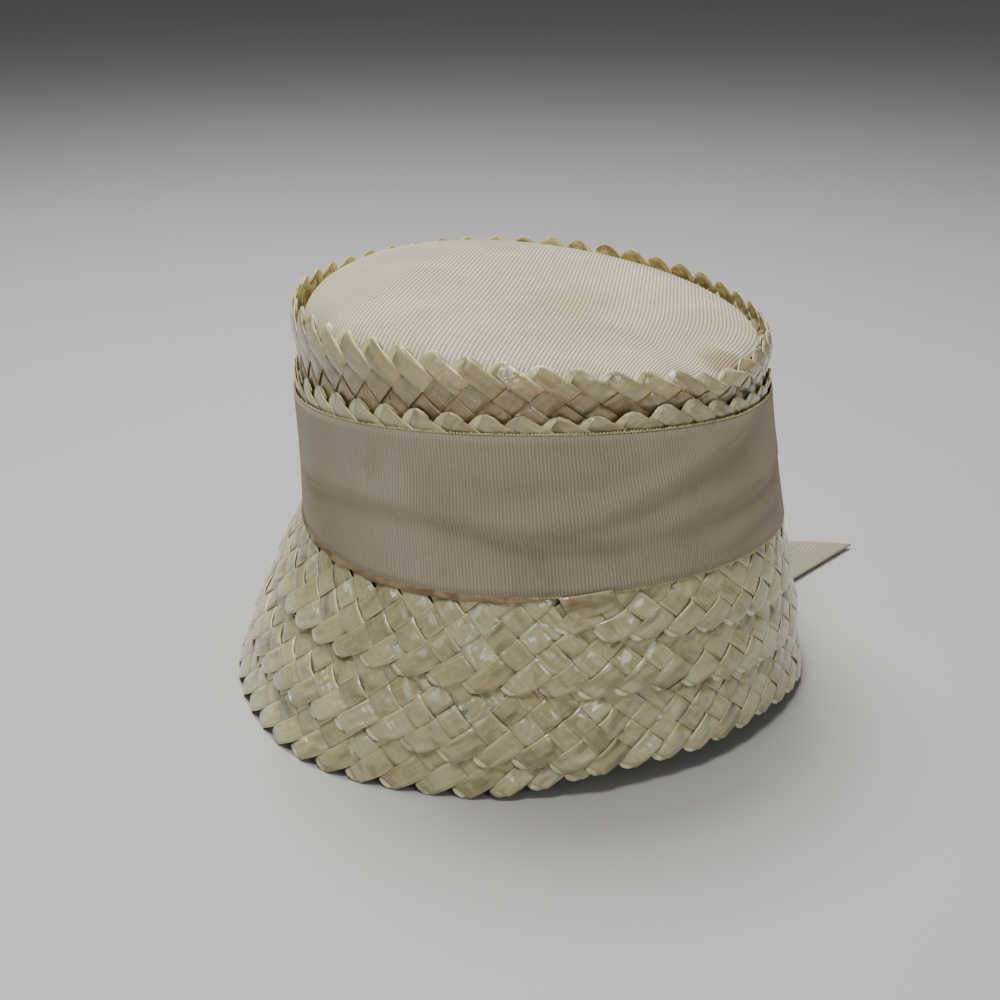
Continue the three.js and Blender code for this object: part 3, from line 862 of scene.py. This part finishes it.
# %% The folded start
START_ANGLE, START_SPAN, START_SPREAD = -44.6, 10.4, 3.4
START_DOWN, START_DROP, START_WIDTH = 5.0, 2.4, 9.0
START_LIFT, START_HOLLOW, START_ROLL = 2.2, 0.75, 0.5
START_FACING = np.array([0.42, -0.9, 0.1])


def closed_piece(name, front, rear, flats, material):
    """A closed piece between an outer and an inner grid. Its rows run against a strap's, so faces are turned."""
    verts, faces, flats = slab(front, rear, flats)
    faces = [face[::-1] for face in faces]
    return shown(name, smooth_mesh(name, verts, faces, by_corner(flats, faces), material))


t = np.array([0, 0.05, 0.14, 0.3, 0.5, 0.7, 0.86, 1])[:, None]
w = np.array([-0.5, -0.36, -0.15, 0.1, 0.32, 0.46, 0.5])[None, :]
angles = START_ANGLE + START_SPAN * t + START_SPREAD * w * (1 - 0.5 * t)
downs = (START_DOWN - START_DROP * t + START_WIDTH * w * (1 - 0.25 * t)) * MM
hollow = START_HOLLOW * np.exp(-(((w + 0.08) / 0.2) ** 2)) * np.sin(np.pi * t)
rolled = START_ROLL * (np.clip((np.abs(w) - 0.4) / 0.1, 0, 1) ** 2 + np.clip((0.06 - t) / 0.06, 0, 1))
points = brim_point(angles, downs, (BRAID_THICKNESS / MM + START_LIFT - hollow - rolled) * MM)
flats = np.stack([1.6 * t + 0 * w, 0.76 * w + 0 * t], -1)
start = closed_piece("braid_start", points, points - START_FACING * STRAW_THICKNESS * MM, flats, straw)
wear(start)
print("folded start:", len(start.data.polygons), "faces")

# %% [markdown]
# ## The crown's two rows
#
# The same braid stands round the crown with its other toothed edge up: a deep row that makes the rim, and a
# second one outside it whose teeth show above the band. The rim leans out and its teeth turn in again.

# %% The crown's rows
RIM_LEAN = 3.4 * MM
LOWER_ROW_LEAN = 4.6 * MM
RIM_HEIGHTS = RIM_TIPS - BRAID_WIDTH * np.array([1, 0.5, 0.27, 0])
RIM_OUT = RIM_LEAN * np.array([0, 0.47, 1, 0.88])


def upper_row_face(height):
    """Radius of the upper row's inner face, straight between the rows of its profile."""
    return np.interp(height, RIM_HEIGHTS, crown_line(RIM_HEIGHTS) + RIM_OUT)


LOWER_OUT_AT_BAND = float(upper_row_face(BAND_TOP) - crown_line(BAND_TOP)) + LAYER
LOWER_HEIGHTS = np.array([LOWER_ROW_FOOT, UPPER_ROW_FOOT - 2 * GAP, BAND_TOP, LOWER_TIPS])
LOWER_RADII = crown_line(LOWER_HEIGHTS) + np.array([0, LAYER, LOWER_OUT_AT_BAND, LOWER_ROW_LEAN])


def lower_row_face(height):
    return np.interp(height, LOWER_HEIGHTS, LOWER_RADII)


TEETH = round(2 * math.pi * (TOP_RADIUS + RIM_LEAN) / (PITCH * MM))
print("each crown row has", TEETH, "teeth")

# %% Laying them
CROWN_TIERS = 4
# Painted shade with some soiling, by kind of strap: the tiers under the teeth are painted darker.
CROWN_SHADE_AND_SOIL = (0.1, 0.75, 0.9, 1)
TURNED_IN, TURNED_REACH, RISE_REACH = 1.3 * MM, 8 * MM, 20 * MM


def crown_row(name, node, face, tips, phase, seed, rise=(0, 1, 0)):
    """Lay a row whose teeth stand up, and rise near the place given. Tier 0 is the toothed one."""

    def surface(teeth, up, out):
        angle = 360 * (teeth + phase) / TEETH
        height = tips + up + swell(angle, rise) * np.clip(1 + up / RISE_REACH, 0, 1)
        turned_in = TURNED_IN * np.clip(1 + up / TURNED_REACH, 0, 1) ** 2
        return settle(angle, face(height) + BRAID_THICKNESS / 2 + out - turned_in, height)

    crossings = []
    for tooth in range(TEETH):
        for tier in range(CROWN_TIERS):
            shift, down = crossing_places(CROWN_TIP, tier)
            crossings.append((tier, tooth + shift + SKEW * TIER_STEP * tier / PITCH, -down))
    wear(plait(name, crossings, surface, seed, CROWN_SHADE_AND_SOIL), node)


crown_row("rim_plait", "crown_braid_upper", upper_row_face, RIM_TIPS, 0, 21)
crown_row("collar_plait", "crown_braid_lower", lower_row_face, LOWER_TIPS, 0.45, 34, HIGH_TEETH)

# %% [markdown]
# The templates have done their work and are taken out of the file, so that nothing of them is exported.

# %% Put the templates away
for template in list(template_box.objects):
    bpy.data.meshes.remove(template.data)
bpy.data.collections.remove(template_box)

# %% [markdown]
# ## Pieces made as grids
#
# Ribbon, cloth and the crown's wall are sheets. Each is a grid of points on a rule, with a flat pattern in
# which u counts ribs and v runs along them, and a Solidify modifier gives it its thickness.

# %% Sheets on a grid


def grid_piece(name, points, flats, material, thickness, closed=False, outward=1):
    """A sheet from points (rows, columns, 3). A closed one joins its last row to its first."""
    rows, columns, _ = points.shape
    faces, pattern = [], []
    for i in range(rows if closed else rows - 1):
        for j in range(columns - 1):
            places = [(i, j), (i + 1, j), (i + 1, j + 1), (i, j + 1)][::outward]
            faces.append([a % rows * columns + b for a, b in places])
            pattern.extend(flats[place] for place in places)
    piece = shown(name, smooth_mesh(name, points.reshape(-1, 3), faces, pattern, material))
    solid = piece.modifiers.new("thickness", "SOLIDIFY")
    solid.thickness, solid.offset = thickness, -1
    print(name, "has", len(faces), "faces before its thickness")
    return piece


def on_grid(rows, columns):
    """The flat places of a grid, from the u of its rows and the v of its columns."""
    return np.stack(np.meshgrid(rows, columns, indexing="ij"), -1)


print("grid helpers are ready")

# %% [markdown]
# ## The ribbed tip
#
# The tip is a fine openwork cloth: raised cords about 1.4 mm apart with gaps between them, pulled over a
# low dome. The gaps are painted dark, as painted shade seen through the open weave. The cords run away from the
# viewer, lean to the right at the near side and straighten, or bend back, at the far side. The sheet's grid
# follows the cords, so four points across each one give it real relief.

# %% Tip finish
TIP_TONES = colour(204, 192, 164), colour(227, 217, 190)
GAP_SHADE_TONE, RED_STAIN, BROWN_STAIN = colour(110, 97, 70), colour(170, 108, 78), colour(128, 96, 58)
RED_PLACE, RED_REACH = (0.0379, 0.0661, 0.139), 3.4 * MM
BROWN_PLACE, BROWN_REACH = (0.0835, 0.0105, 0.1345), 17 * MM

finish = Finish("ribbed tip cloth")
cord, along = finish.flat()
gap = 1 - (0.5 - cord.off_centre()).between(0.03, 0.24)
knot = finish.noise(finish.vector(cord * 1.3, along * 1.1, 0.0), 1.0, 2.0)
thread = (along * 1.6 + knot * 0.8).wrapped()
tie = (thread - 0.5).size().between(0.28, 0.48)
patch = finish.noise(finish.place(), 30.0, 3.0)
openness = finish.noise(finish.place(), 14.0, 1.0).between(0.35, 0.75)
tip_colour = finish.mix(patch.between(0.3, 0.75), *TIP_TONES)
# Painted shade: the gaps between the cords are painted dark, less where cross-threads tie them.
tip_colour = finish.mix(gap * (0.7 + 0.3 * openness) * (1 - 0.65 * tie), tip_colour, GAP_SHADE_TONE)
tip_colour = finish.mix(finish.spot(RED_PLACE, RED_REACH, 0.5) * 0.5, tip_colour, RED_STAIN)
tip_colour = finish.mix(finish.spot(BROWN_PLACE, BROWN_REACH, 0.5, 9.0) * 0.55, tip_colour, BROWN_STAIN)
tip_bump = finish.bump((1 - gap) * 0.6 + thread * 0.12 * (1 - gap) + knot * 0.15, 0.0005, 0.6)
tip_cloth = finish.close(tip_colour, 0.62, tip_bump, Sheen_Weight=0.15, Specular_IOR_Level=0.35)

# %% The form of the tip
CORD_PITCH = 1.42 * MM
CORD_SHARES = np.array([0, 0.22, 0.5, 0.78])
TIP_EDGE = TOP_RADIUS - GAP
TIP_BASE = WALL_TOP + GAP
SHOULDER_FULLNESS = 0.75
DOME_SLUMP = (214, 0.118 * BRIM_RADIUS)


def dome_height(angle, radius):
    """A low dome, fuller on one side: DOME_SLUMP is that side's angle, and how much it rises."""
    share = np.clip(radius / TIP_EDGE, 0, 1)
    slump = DOME_SLUMP[1] * share * (1 - share**2) * np.cos(np.radians(angle - DOME_SLUMP[0]))
    return DOME_RISE * np.sqrt(1 - share ** (2 / SHOULDER_FULLNESS)) + slump


def cord_slope(right, away):
    """How far right a cord moves for each step away: more at the near side, most of all at its ends."""
    right_share = np.clip(right / (60 * MM), -1.4, 1.4)
    left_share = np.clip(-right_share, 0, None)
    near = np.clip(-away / (70 * MM), 0, 1.2)
    at_right = 0.38 * np.clip(right_share, 0, None) ** 2 * near
    at_left = 0.12 * left_share**2 * (1 + 1.5 * near)
    return 0.16 - 0.05 * right_share + 0.17 * near**1.5 + at_right + at_left


def tip_grid(steps=801, samples=41):
    """Points right of the middle and away from the viewer, a row for each number along the cords."""
    cords = int(2.4 * TIP_EDGE / CORD_PITCH)
    numbers = np.concatenate([n + CORD_SHARES for n in range(-cords // 2, cords // 2)])
    scan = np.linspace(-TIP_EDGE, TIP_EDGE, steps)
    step, middle = scan[1] - scan[0], steps // 2
    right = np.zeros((steps, len(numbers)))
    right[middle] = numbers * CORD_PITCH
    for i in range(middle, steps - 1):
        right[i + 1] = right[i] + step * cord_slope(right[i], scan[i])
    for i in range(middle, 0, -1):
        right[i - 1] = right[i] - step * cord_slope(right[i], scan[i])
    shares = 0.5 - 0.5 * np.cos(np.linspace(0, np.pi, samples))
    rows, kept = [], []
    for number, path in zip(numbers, right.T):
        inside = scan[np.hypot(path, scan) < TIP_EDGE]
        if len(inside) < 8:
            continue
        away = inside[0] + (inside[-1] - inside[0]) * shares
        rows.append(np.stack([np.interp(away, scan, path), away], -1))
        kept.append(number)
    return np.array(rows), np.array(kept)


print("the dome rises", round(DOME_RISE / MM, 1), "mm")

# %% The tip's sheet
CORD_GROOVE, CORD_CREST, CORD_SIDE = -0.2 * MM, 0.08 * MM, 0.02 * MM
RELIEF_FADE = 3 * MM
plan, numbers = tip_grid()
radius = np.hypot(plan[..., 0], plan[..., 1])
angle = np.degrees(np.arctan2(plan[..., 1], plan[..., 0])) + CAMERA_TURN
crest = np.where(np.isclose(numbers % 1, 0.5), CORD_CREST, CORD_SIDE)
relief = np.where(np.isclose(numbers % 1, 0), CORD_GROOVE, crest)
fade = np.clip((TIP_EDGE - radius) / RELIEF_FADE, 0, 1)
points = settle(angle, radius, TIP_BASE + dome_height(angle, radius) + relief[:, None] * fade)
flats = np.stack([np.broadcast_to(numbers[:, None], radius.shape), plan[..., 1] / MM], -1)
tip = grid_piece("tip_sheet", points, flats, tip_cloth, TIP_THICKNESS)
wear(tip, "crown_tip")
TIP_CUT = 2 * (TIP_EDGE + 0.75 * DOME_RISE)
area = math.pi / 4 * TIP_CUT**2
print("the tip has", len(numbers) // 4, "cords")

# %% [markdown]
# ## The crown's wall
#
# Under the braid and the band is a wall of coarse open-woven foundation cloth, stiffened with size. A strip of
# it shows below the band at the front, and all of it shows from inside.

# %% The wall
WALL_SECTORS, WALL_ROWS = 160, 24
CLOTH_PITCH = 1.5 * MM
finish = Finish("hat foundation")
round_way, up_way = finish.flat()
warp, weft = ((way.off_centre() * 2).between(0.2, 0.9) for way in (round_way, up_way))
patch = finish.noise(finish.place(), 35.0, 3.0)
wall_colour = finish.mix(patch, colour(134, 122, 98), colour(166, 154, 128))
# Painted shade: where the weave's sunk gaps cross, the holes are painted dark.
wall_colour = finish.mix(warp * weft * 0.7, wall_colour, colour(92, 82, 62))
wall_bump = finish.bump(1 - warp.math("MAXIMUM", warp, weft), 0.0004, 0.7)
foundation = finish.close(wall_colour, 0.85, wall_bump, Specular_IOR_Level=0.2)

heights = np.linspace(WALL_FOOT, WALL_TOP, WALL_ROWS)
angles = np.linspace(0, 360, WALL_SECTORS, endpoint=False)[:, None]
points = settle(angles, crown_line(heights) - GAP, heights)
counts = np.linspace(0, 2 * math.pi * HEAD_RADIUS / CLOTH_PITCH, WALL_SECTORS + 1)
flats = on_grid(counts, (heights - WALL_FOOT) / CLOTH_PITCH)
wall = grid_piece("wall_sheet", points, flats, foundation, WALL_THICKNESS, closed=True)
wear(wall, "crown_wall")

# %% [markdown]
# ## The grosgrain band
#
# Grosgrain is woven with a thick weft, which makes firm ribs across the ribbon, and it ends in a row of tiny
# loops at each edge. On this hat it is stretched round the crown over the two straw edges. It has settled in
# soft slanting folds at the right, and in one shallow crease at the left. The ribs are real relief, three
# points to a rib, and the folds are a rule added to the distance from the crown.

# %% Ribbon finish
RIBBON_TONES = colour(163, 152, 130), colour(182, 173, 151)
RIBBON_SOIL, GROOVE_SHADE_TONE = colour(139, 124, 99), colour(108, 96, 77)
finish = Finish("grosgrain")
rib, across = finish.flat()
groove = 1 - (0.5 - rib.off_centre()).between(0.02, 0.22)
yarn = finish.noise(finish.vector(rib * 2.1, across * 9.0, 0.0), 1.0, 2.0)
picks = (across * 2.6).off_centre() * 2
faded = finish.noise(finish.place(), 16.0, 3.0)
soiled = finish.noise(finish.place(), 55.0, 4.0, 0.65)
ribbon_colour = finish.mix(faded.between(0.3, 0.7), *RIBBON_TONES)
ribbon_colour = finish.mix(soiled.between(0.56, 0.78) * 0.35, ribbon_colour, RIBBON_SOIL)
# Painted shade: the grooves between the ribs are painted darker.
ribbon_colour = finish.mix(groove * 0.38, ribbon_colour, GROOVE_SHADE_TONE)
ribbon_bump = finish.bump((1 - groove) * 0.7 + yarn * 0.25 + picks * 0.08, 0.0004, 0.6)
grosgrain = finish.close(ribbon_colour, 0.78, ribbon_bump, Sheen_Weight=0.12, Specular_IOR_Level=0.3)

# %% The band's folds
WAIST = 0.5 * MM
RIB_PITCH = 1.2 * MM
FOLD_FADE = 14


def band_inside(height):
    share = (height - BAND_BOTTOM) / BAND_WIDTH
    low = HEAD_RADIUS + LAYER
    high = TOP_RADIUS + LOWER_OUT_AT_BAND + LAYER
    return low + (high - low) * share - 4 * WAIST * share * (1 - share)


# A fold's crest follows a line of angles and shares of the band's width. It falls off steeply below and gently
# above: rise, then how far it reaches down and up, in millimetres.
FOLDS = [
    (2.0, 1.7, 8, [(-124, 0.42), (-105, 0.5), (-90, 0.53), (-70, 0.49), (-50, 0.36), (-22, 0.31)]),
    (2.6, 3.2, 7, [(-62, 0.44), (-50, 0.45), (-37, 0.5), (-25, 0.62), (-8, 0.8), (14, 1.03)]),
    (2.0, 2.6, 6, [(-30, 0.34), (-3, 0.45), (14, 0.5), (34, 0.66)]),
    (1.1, 4.0, 6, [(-70, 0.72), (-55, 0.72), (-37, 0.75), (-21, 0.9), (-10, 1.0)]),
    (1.3, 2.2, 5, [(-16, 0.1), (-4, 0.16), (14, 0.28), (30, 0.34)]),
    (1.4, 5.0, 7, [(60, 0.7), (95, 0.45), (130, 0.3)]),
    (1.4, 3.0, 7, [(150, 0.25), (185, 0.45), (220, 0.6)]),
]


def fold_height(angle, share):
    total = 0 * angle * share
    for rise, down, up, line in FOLDS:
        line_angles, line_shares = zip(*line)
        place = line_angles[0] + (angle - line_angles[0] + 90) % 360 - 90
        away = (share - np.interp(place, line_angles, line_shares)) * BAND_WIDTH / MM
        profile = np.exp(-((away / np.where(away < 0, down, up)) ** 2))
        ends = np.clip((place - line_angles[0]) / FOLD_FADE, 0, 1)
        ends = ends * np.clip((line_angles[-1] - place) / FOLD_FADE, 0, 1)
        total = total + rise * MM * profile * ends * ends * (3 - 2 * ends)
    edge = np.clip(np.minimum(share, 1 - share) / 0.08, 0, 1)
    return total * (0.35 + 0.65 * edge)


print("folds:", len(FOLDS))

# %% The band
RIB_SHARES = np.array([0, 0.35, 0.65])
RIB_GROOVE, RIB_CREST = -0.16 * MM, 0.08 * MM
BAND_ROWS = 22
BAND_LENGTH = 2 * math.pi * (HEAD_RADIUS + LAYER)
ribs = round(BAND_LENGTH / RIB_PITCH)
shares = np.linspace(0, 1, BAND_ROWS)
numbers = np.concatenate([n + RIB_SHARES for n in range(ribs)])
angles = (360 * numbers / ribs)[:, None]
heights = BAND_BOTTOM + BAND_WIDTH * shares
relief = np.where(np.isclose(numbers % 1, 0), RIB_GROOVE, RIB_CREST)[:, None]
out = band_inside(heights) + RIBBON_THICKNESS + relief + fold_height(angles, shares)
flats = on_grid(np.append(numbers, ribs), shares * BAND_WIDTH / MM)
points = settle(angles, out, heights)
band = grid_piece("band_ribbon", points, flats, grosgrain, RIBBON_THICKNESS * 0.6, closed=True)
wear(band, "ribbon_band")
print("the band has", ribs, "ribs")

# %% [markdown]
# Below the front of the band a strip of the foundation peeps out, a stiff brown edge that narrows to nothing
# at both ends.

# %% The edge below the band
WELT_FROM, WELT_TO, WELT_WIDTH, WELT_THICKNESS = -150, -38, 2.5 * MM, 0.4 * MM
finish = Finish("stiffened edge")
dirt = finish.noise(finish.place(), 180.0, 3.0, 0.6)
grain = finish.noise(finish.place(), 700.0, 2.0)
edge_colour = finish.mix(dirt.between(0.3, 0.7), colour(122, 105, 76), colour(166, 150, 117))
stiff_edge = finish.close(edge_colour, 0.85, finish.bump(grain + dirt, 0.0005, 0.7), Specular_IOR_Level=0.2)
turns = np.linspace(0, 1, 120)[:, None]
downs = np.array([-0.6, 0.0, 0.3, 0.6, 0.85, 1.0])[None, :]
narrowing = np.clip(np.minimum(turns, 1 - turns) / 0.2, 0.02, 1) ** 0.7
width = WELT_WIDTH * narrowing * (1 + 0.12 * np.sin(61 * turns))
stand_off = BRAID_THICKNESS + (0.6 + 0.3 * np.sin(47 * turns) * downs - 0.35 * downs**4) * MM
points = brim_point(WELT_FROM + (WELT_TO - WELT_FROM) * turns, width * downs, stand_off)
flats = on_grid(turns[:, 0] * 110, downs[0] * 2)
wear(grid_piece("foundation_edge", points, flats, stiff_edge, WELT_THICKNESS))
print("the edge is", round(WELT_WIDTH / MM, 1), "mm wide at its middle")

# %% [markdown]
# ## Picot loops
#
# The tiny loops along the ribbon's edges are one loop for each rib, laid along the edge by Geometry Nodes. A
# loop is half a ring of thread, a pale straw yellow against the grey ribbon.

# %% Picot finish and loop
LOOP_STEPS, THREAD_SIDES = 6, 4
LOOP_RADIUS, THREAD_RADIUS, LOOP_HEIGHT, THREAD_DEPTH = 0.42 * MM, 0.2 * MM, 1.9, 0.25 * MM
finish = Finish("picot thread")
shade = finish.noise(finish.place(), 400.0, 2.0)
picot_colour = finish.mix(shade, colour(190, 176, 128), colour(226, 217, 176))
picot = finish.close(picot_colour, 0.7, finish.bump(shade, 0.0002, 0.5), Specular_IOR_Level=0.3)


def loop_template():
    """Half a ring of thread, in the plane of x and y, its ends at y = 0."""
    verts, faces = [], []
    for i in range(LOOP_STEPS):
        turn = math.pi * i / (LOOP_STEPS - 1)
        for j in range(THREAD_SIDES):
            side = math.tau * j / THREAD_SIDES
            reach = LOOP_RADIUS + THREAD_RADIUS * math.cos(side)
            x, y = reach * math.cos(turn), reach * math.sin(turn) * LOOP_HEIGHT
            verts.append((x, y, THREAD_DEPTH * math.sin(side)))
    for i in range(0, (LOOP_STEPS - 1) * THREAD_SIDES, THREAD_SIDES):
        for j in range(THREAD_SIDES):
            k = (j + 1) % THREAD_SIDES
            faces.append((i + j, i + THREAD_SIDES + j, i + THREAD_SIDES + k, i + k))
    faces += [tuple(range(THREAD_SIDES)), tuple(range(len(verts) - 1, len(verts) - 1 - THREAD_SIDES, -1))]
    return bpy.data.objects.new("loop", smooth_mesh("loop", verts, faces))


# %% Laying loops
knit = Layer("lay loops", {
    "Geometry": ("Geometry", None), "Loop": ("Object", None), "Size": ("Float", 1.0), "Seed": ("Int", 1),
    "Finish": ("Material", None),
})
given = knit.given
shape = knit.node("GeometryNodeObjectInfo", {}, {"Object": given["Loop"]}, "Geometry")
size = knit.random("FLOAT", 0.8, 1.15, given["Seed"]) * given["Size"]
turn = knit.node("FunctionNodeEulerToRotation", {}, {0: knit.stored("turn", "FLOAT_VECTOR")})
sockets = {"Points": given["Geometry"], "Instance": shape, "Rotation": turn, "Scale": size}
knit.close(knit.node("GeometryNodeInstanceOnPoints", {}, sockets))


def facing(right, up):
    """The turn, as three angles, of a loop whose x runs right and whose y runs up."""
    x = Vector(right).normalized()
    z = x.cross(Vector(up)).normalized()
    return Matrix((x, z.cross(x), z)).transposed().to_euler()


def picot_row(name, places, ups, seed):
    """Loops at the places, each standing along its up."""
    rights = np.roll(places, -1, axis=0) - np.roll(places, 1, axis=0)
    rights[0], rights[-1] = rights[1], rights[-2]
    turns = [v for right, up in zip(rights, ups) for v in facing(right, up)]
    values = {"Loop": loop, "Seed": seed, "Finish": picot}
    wear(knit.run(name, places, {"turn": ("FLOAT_VECTOR", "vector", turns)}, values))
    print(name, "has", len(places), "loops")


# %% Picots on the band
PICOT_OUT, PICOT_STEP = RIBBON_THICKNESS * 0.7, 1 * MM
loop = loop_template()
angles = 360 * (np.arange(ribs) + 0.5) / ribs
for name, share, side, seed in (("band_picots_top", 1.0, 1, 7), ("band_picots_bottom", 0.0, -1, 8)):
    height = BAND_BOTTOM + BAND_WIDTH * share
    out = band_inside(height) + PICOT_OUT + fold_height(angles, share)
    places = settle(angles, out, height)
    picot_row(name, places, places - settle(angles, out, height - side * PICOT_STEP), seed)

# %% [markdown]
# ## The knot and the tails
#
# At the back the band's two ends pass through a flat knot. A knot is a turn of the same ribbon wrapped round
# them, so its ribs run up and down and its sides roll in. The tails hang from it over the brim, narrow where
# the knot gathers them and wide where they lie on the table. Only the end of one is in the photo; the rest is
# made to match it.

# %% The knot
BACK = 90
KNOT_WIDTH, KNOT_HEIGHT, KNOT_DEPTH, KNOT_EDGE = 0.51 * BAND_WIDTH, 0.8 * BAND_WIDTH, 6.5 * MM, 1.2 * MM
KNOT_CORNER, KNOT_ROUND, KNOT_PLEAT = 0.14, 0.88, 0.35 * MM
middle = (BAND_BOTTOM + BAND_TOP) / 2
half_angle = math.degrees(KNOT_WIDTH / 2 / (band_inside(middle) + RIBBON_THICKNESS))
across = np.linspace(-1, 1, 61)[:, None]
along = np.linspace(1, -1, 33)[None, :]
round_off = np.sqrt(1 - KNOT_ROUND * across**4)
heights = middle + (KNOT_HEIGHT / 2) * (1 - KNOT_CORNER * (1 - round_off)) * along
bulge = KNOT_EDGE + (KNOT_DEPTH - KNOT_EDGE) * round_off * np.sqrt(1 - KNOT_ROUND * along**4)
pleats = KNOT_PLEAT * np.sin(9 * across + 2.2 * along) * (1 - along**2) * (1 - across**4)
angles = BACK + across * half_angle
inside = band_inside(heights) + RIBBON_THICKNESS + GAP
front, rear = (settle(angles, inside + out, heights) for out in (bulge + pleats, 0))
flats = on_grid(across[:, 0] * KNOT_WIDTH / 2 / RIB_PITCH, along[0] * KNOT_HEIGHT / 2 / MM)
wear(closed_piece("knot_wrap", front, rear, flats, grosgrain), "ribbon_knot")
print("knot:", round(KNOT_WIDTH / MM), "by", round(KNOT_HEIGHT / MM), "mm")

# %% The way of a tail
# The tail's two sides, row by row: degrees from the back, then how far down. The brim's edge is 1, and what is
# more lies on the table.
TAIL_ROWS = np.array([
    [0.7, -0.07, 8, -0.07], [0.8, 0.2, 11, 0.2], [1.2, 0.55, 14.5, 0.55], [2, 0.88, 18, 0.86],
    [3.4, 1.13, 20.5, 1.045], [5.6, 1.4, 21.8, 1.07], [10, 1.753, 22.9, 1.1], [15.7, 2.04, 23.9, 1.133],
])
TAIL_CLEARANCE = 0.4 * MM
TAIL_OUT = LAYER + BRAID_THICKNESS + TAIL_CLEARANCE


def tail_point(angle, down, out):
    if down <= 1:
        return brim_point(angle, down * (BAND_BOTTOM if down < 0 else SLOPE), TAIL_OUT + out)
    reach = BRIM_RADIUS + (down - 1) * BAND_BOTTOM
    turn = math.radians(angle)
    return np.array([reach * math.cos(turn), reach * math.sin(turn), out])


def tail_corner(row, share, side, out):
    far_angle, far_down, near_angle, near_down = row
    if far_down > 1 and near_down > 1:
        far = tail_point(BACK - side * far_angle, far_down, out)
        return far + (tail_point(BACK - side * near_angle, near_down, out) - far) * share
    angle = far_angle + (near_angle - far_angle) * share
    return tail_point(BACK - side * angle, far_down + (near_down - far_down) * share, out)


def smooth_path(points, count):
    """A soft curve through points, one sample row for each of count steps."""
    places = np.linspace(0, len(points) - 1, count)
    i = np.clip(places.astype(int), 0, len(points) - 2)
    t = (places - i)[:, None, None]
    ahead = np.concatenate([points[:1], points, points[-1:]])
    slope = (ahead[2:] - ahead[:-2]) / 2
    near = (2 * t**3 - 3 * t**2 + 1) * points[i] + (t**3 - 2 * t**2 + t) * slope[i]
    return near + (3 * t**2 - 2 * t**3) * points[i + 1] + (t**3 - t**2) * slope[i + 1]


print("a tail lies", round(TAIL_OUT / MM, 1), "mm outside the brim's line")

# %% The tails
TAIL_LENGTHS, TAIL_SAMPLES = 57, 49
RIBS_ALONG, TAIL_PICKS = 96, 30
for side, name, node in ((1, "tail_right", "ribbon_tail_right"), (-1, "tail_left", "ribbon_tail_left")):
    shares = np.linspace(0, 1, TAIL_SAMPLES)
    rows = [[tail_corner(row, share, side, RIBBON_THICKNESS) for share in shares] for row in TAIL_ROWS]
    places = smooth_path(np.array(rows), TAIL_LENGTHS)
    places[..., 2] = np.maximum(places[..., 2], RIBBON_THICKNESS * 0.8)
    flats = on_grid(np.linspace(0, 1, TAIL_LENGTHS) * RIBS_ALONG, shares * TAIL_PICKS)
    tail = grid_piece(name, places, flats, grosgrain, RIBBON_THICKNESS * 0.7, outward=side)
    run = np.linalg.norm(np.diff(places[:, TAIL_SAMPLES // 2], axis=0), axis=1).sum()
    cross_a, cross_b = places[1:, 1:] - places[:-1, :-1], places[1:, :-1] - places[:-1, 1:]
    area = 0.5 * np.linalg.norm(np.cross(cross_a, cross_b), axis=2).sum()
    wear(tail, node)
    print(name, "runs", round(run / MM), "mm, area", round(area * 1e4, 1), "cm2")

# %% [markdown]
# ## Measuring and closing
#
# Both boxes, the solids' and the dressed hat's, are printed in millimetres, one after the other. The
# dressed hat may stand only a little proud of its solids.

# %% Finish
bpy.data.meshes.remove(loop.data)
boxes = {"cad": cad_box, "visual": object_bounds()}
boxes = {key: [list(map(float, corner)) for corner in box] for key, box in boxes.items()}
for key, box in boxes.items():
    print(key, "box in mm:", [[round(v / MM, 1) for v in corner] for corner in box])
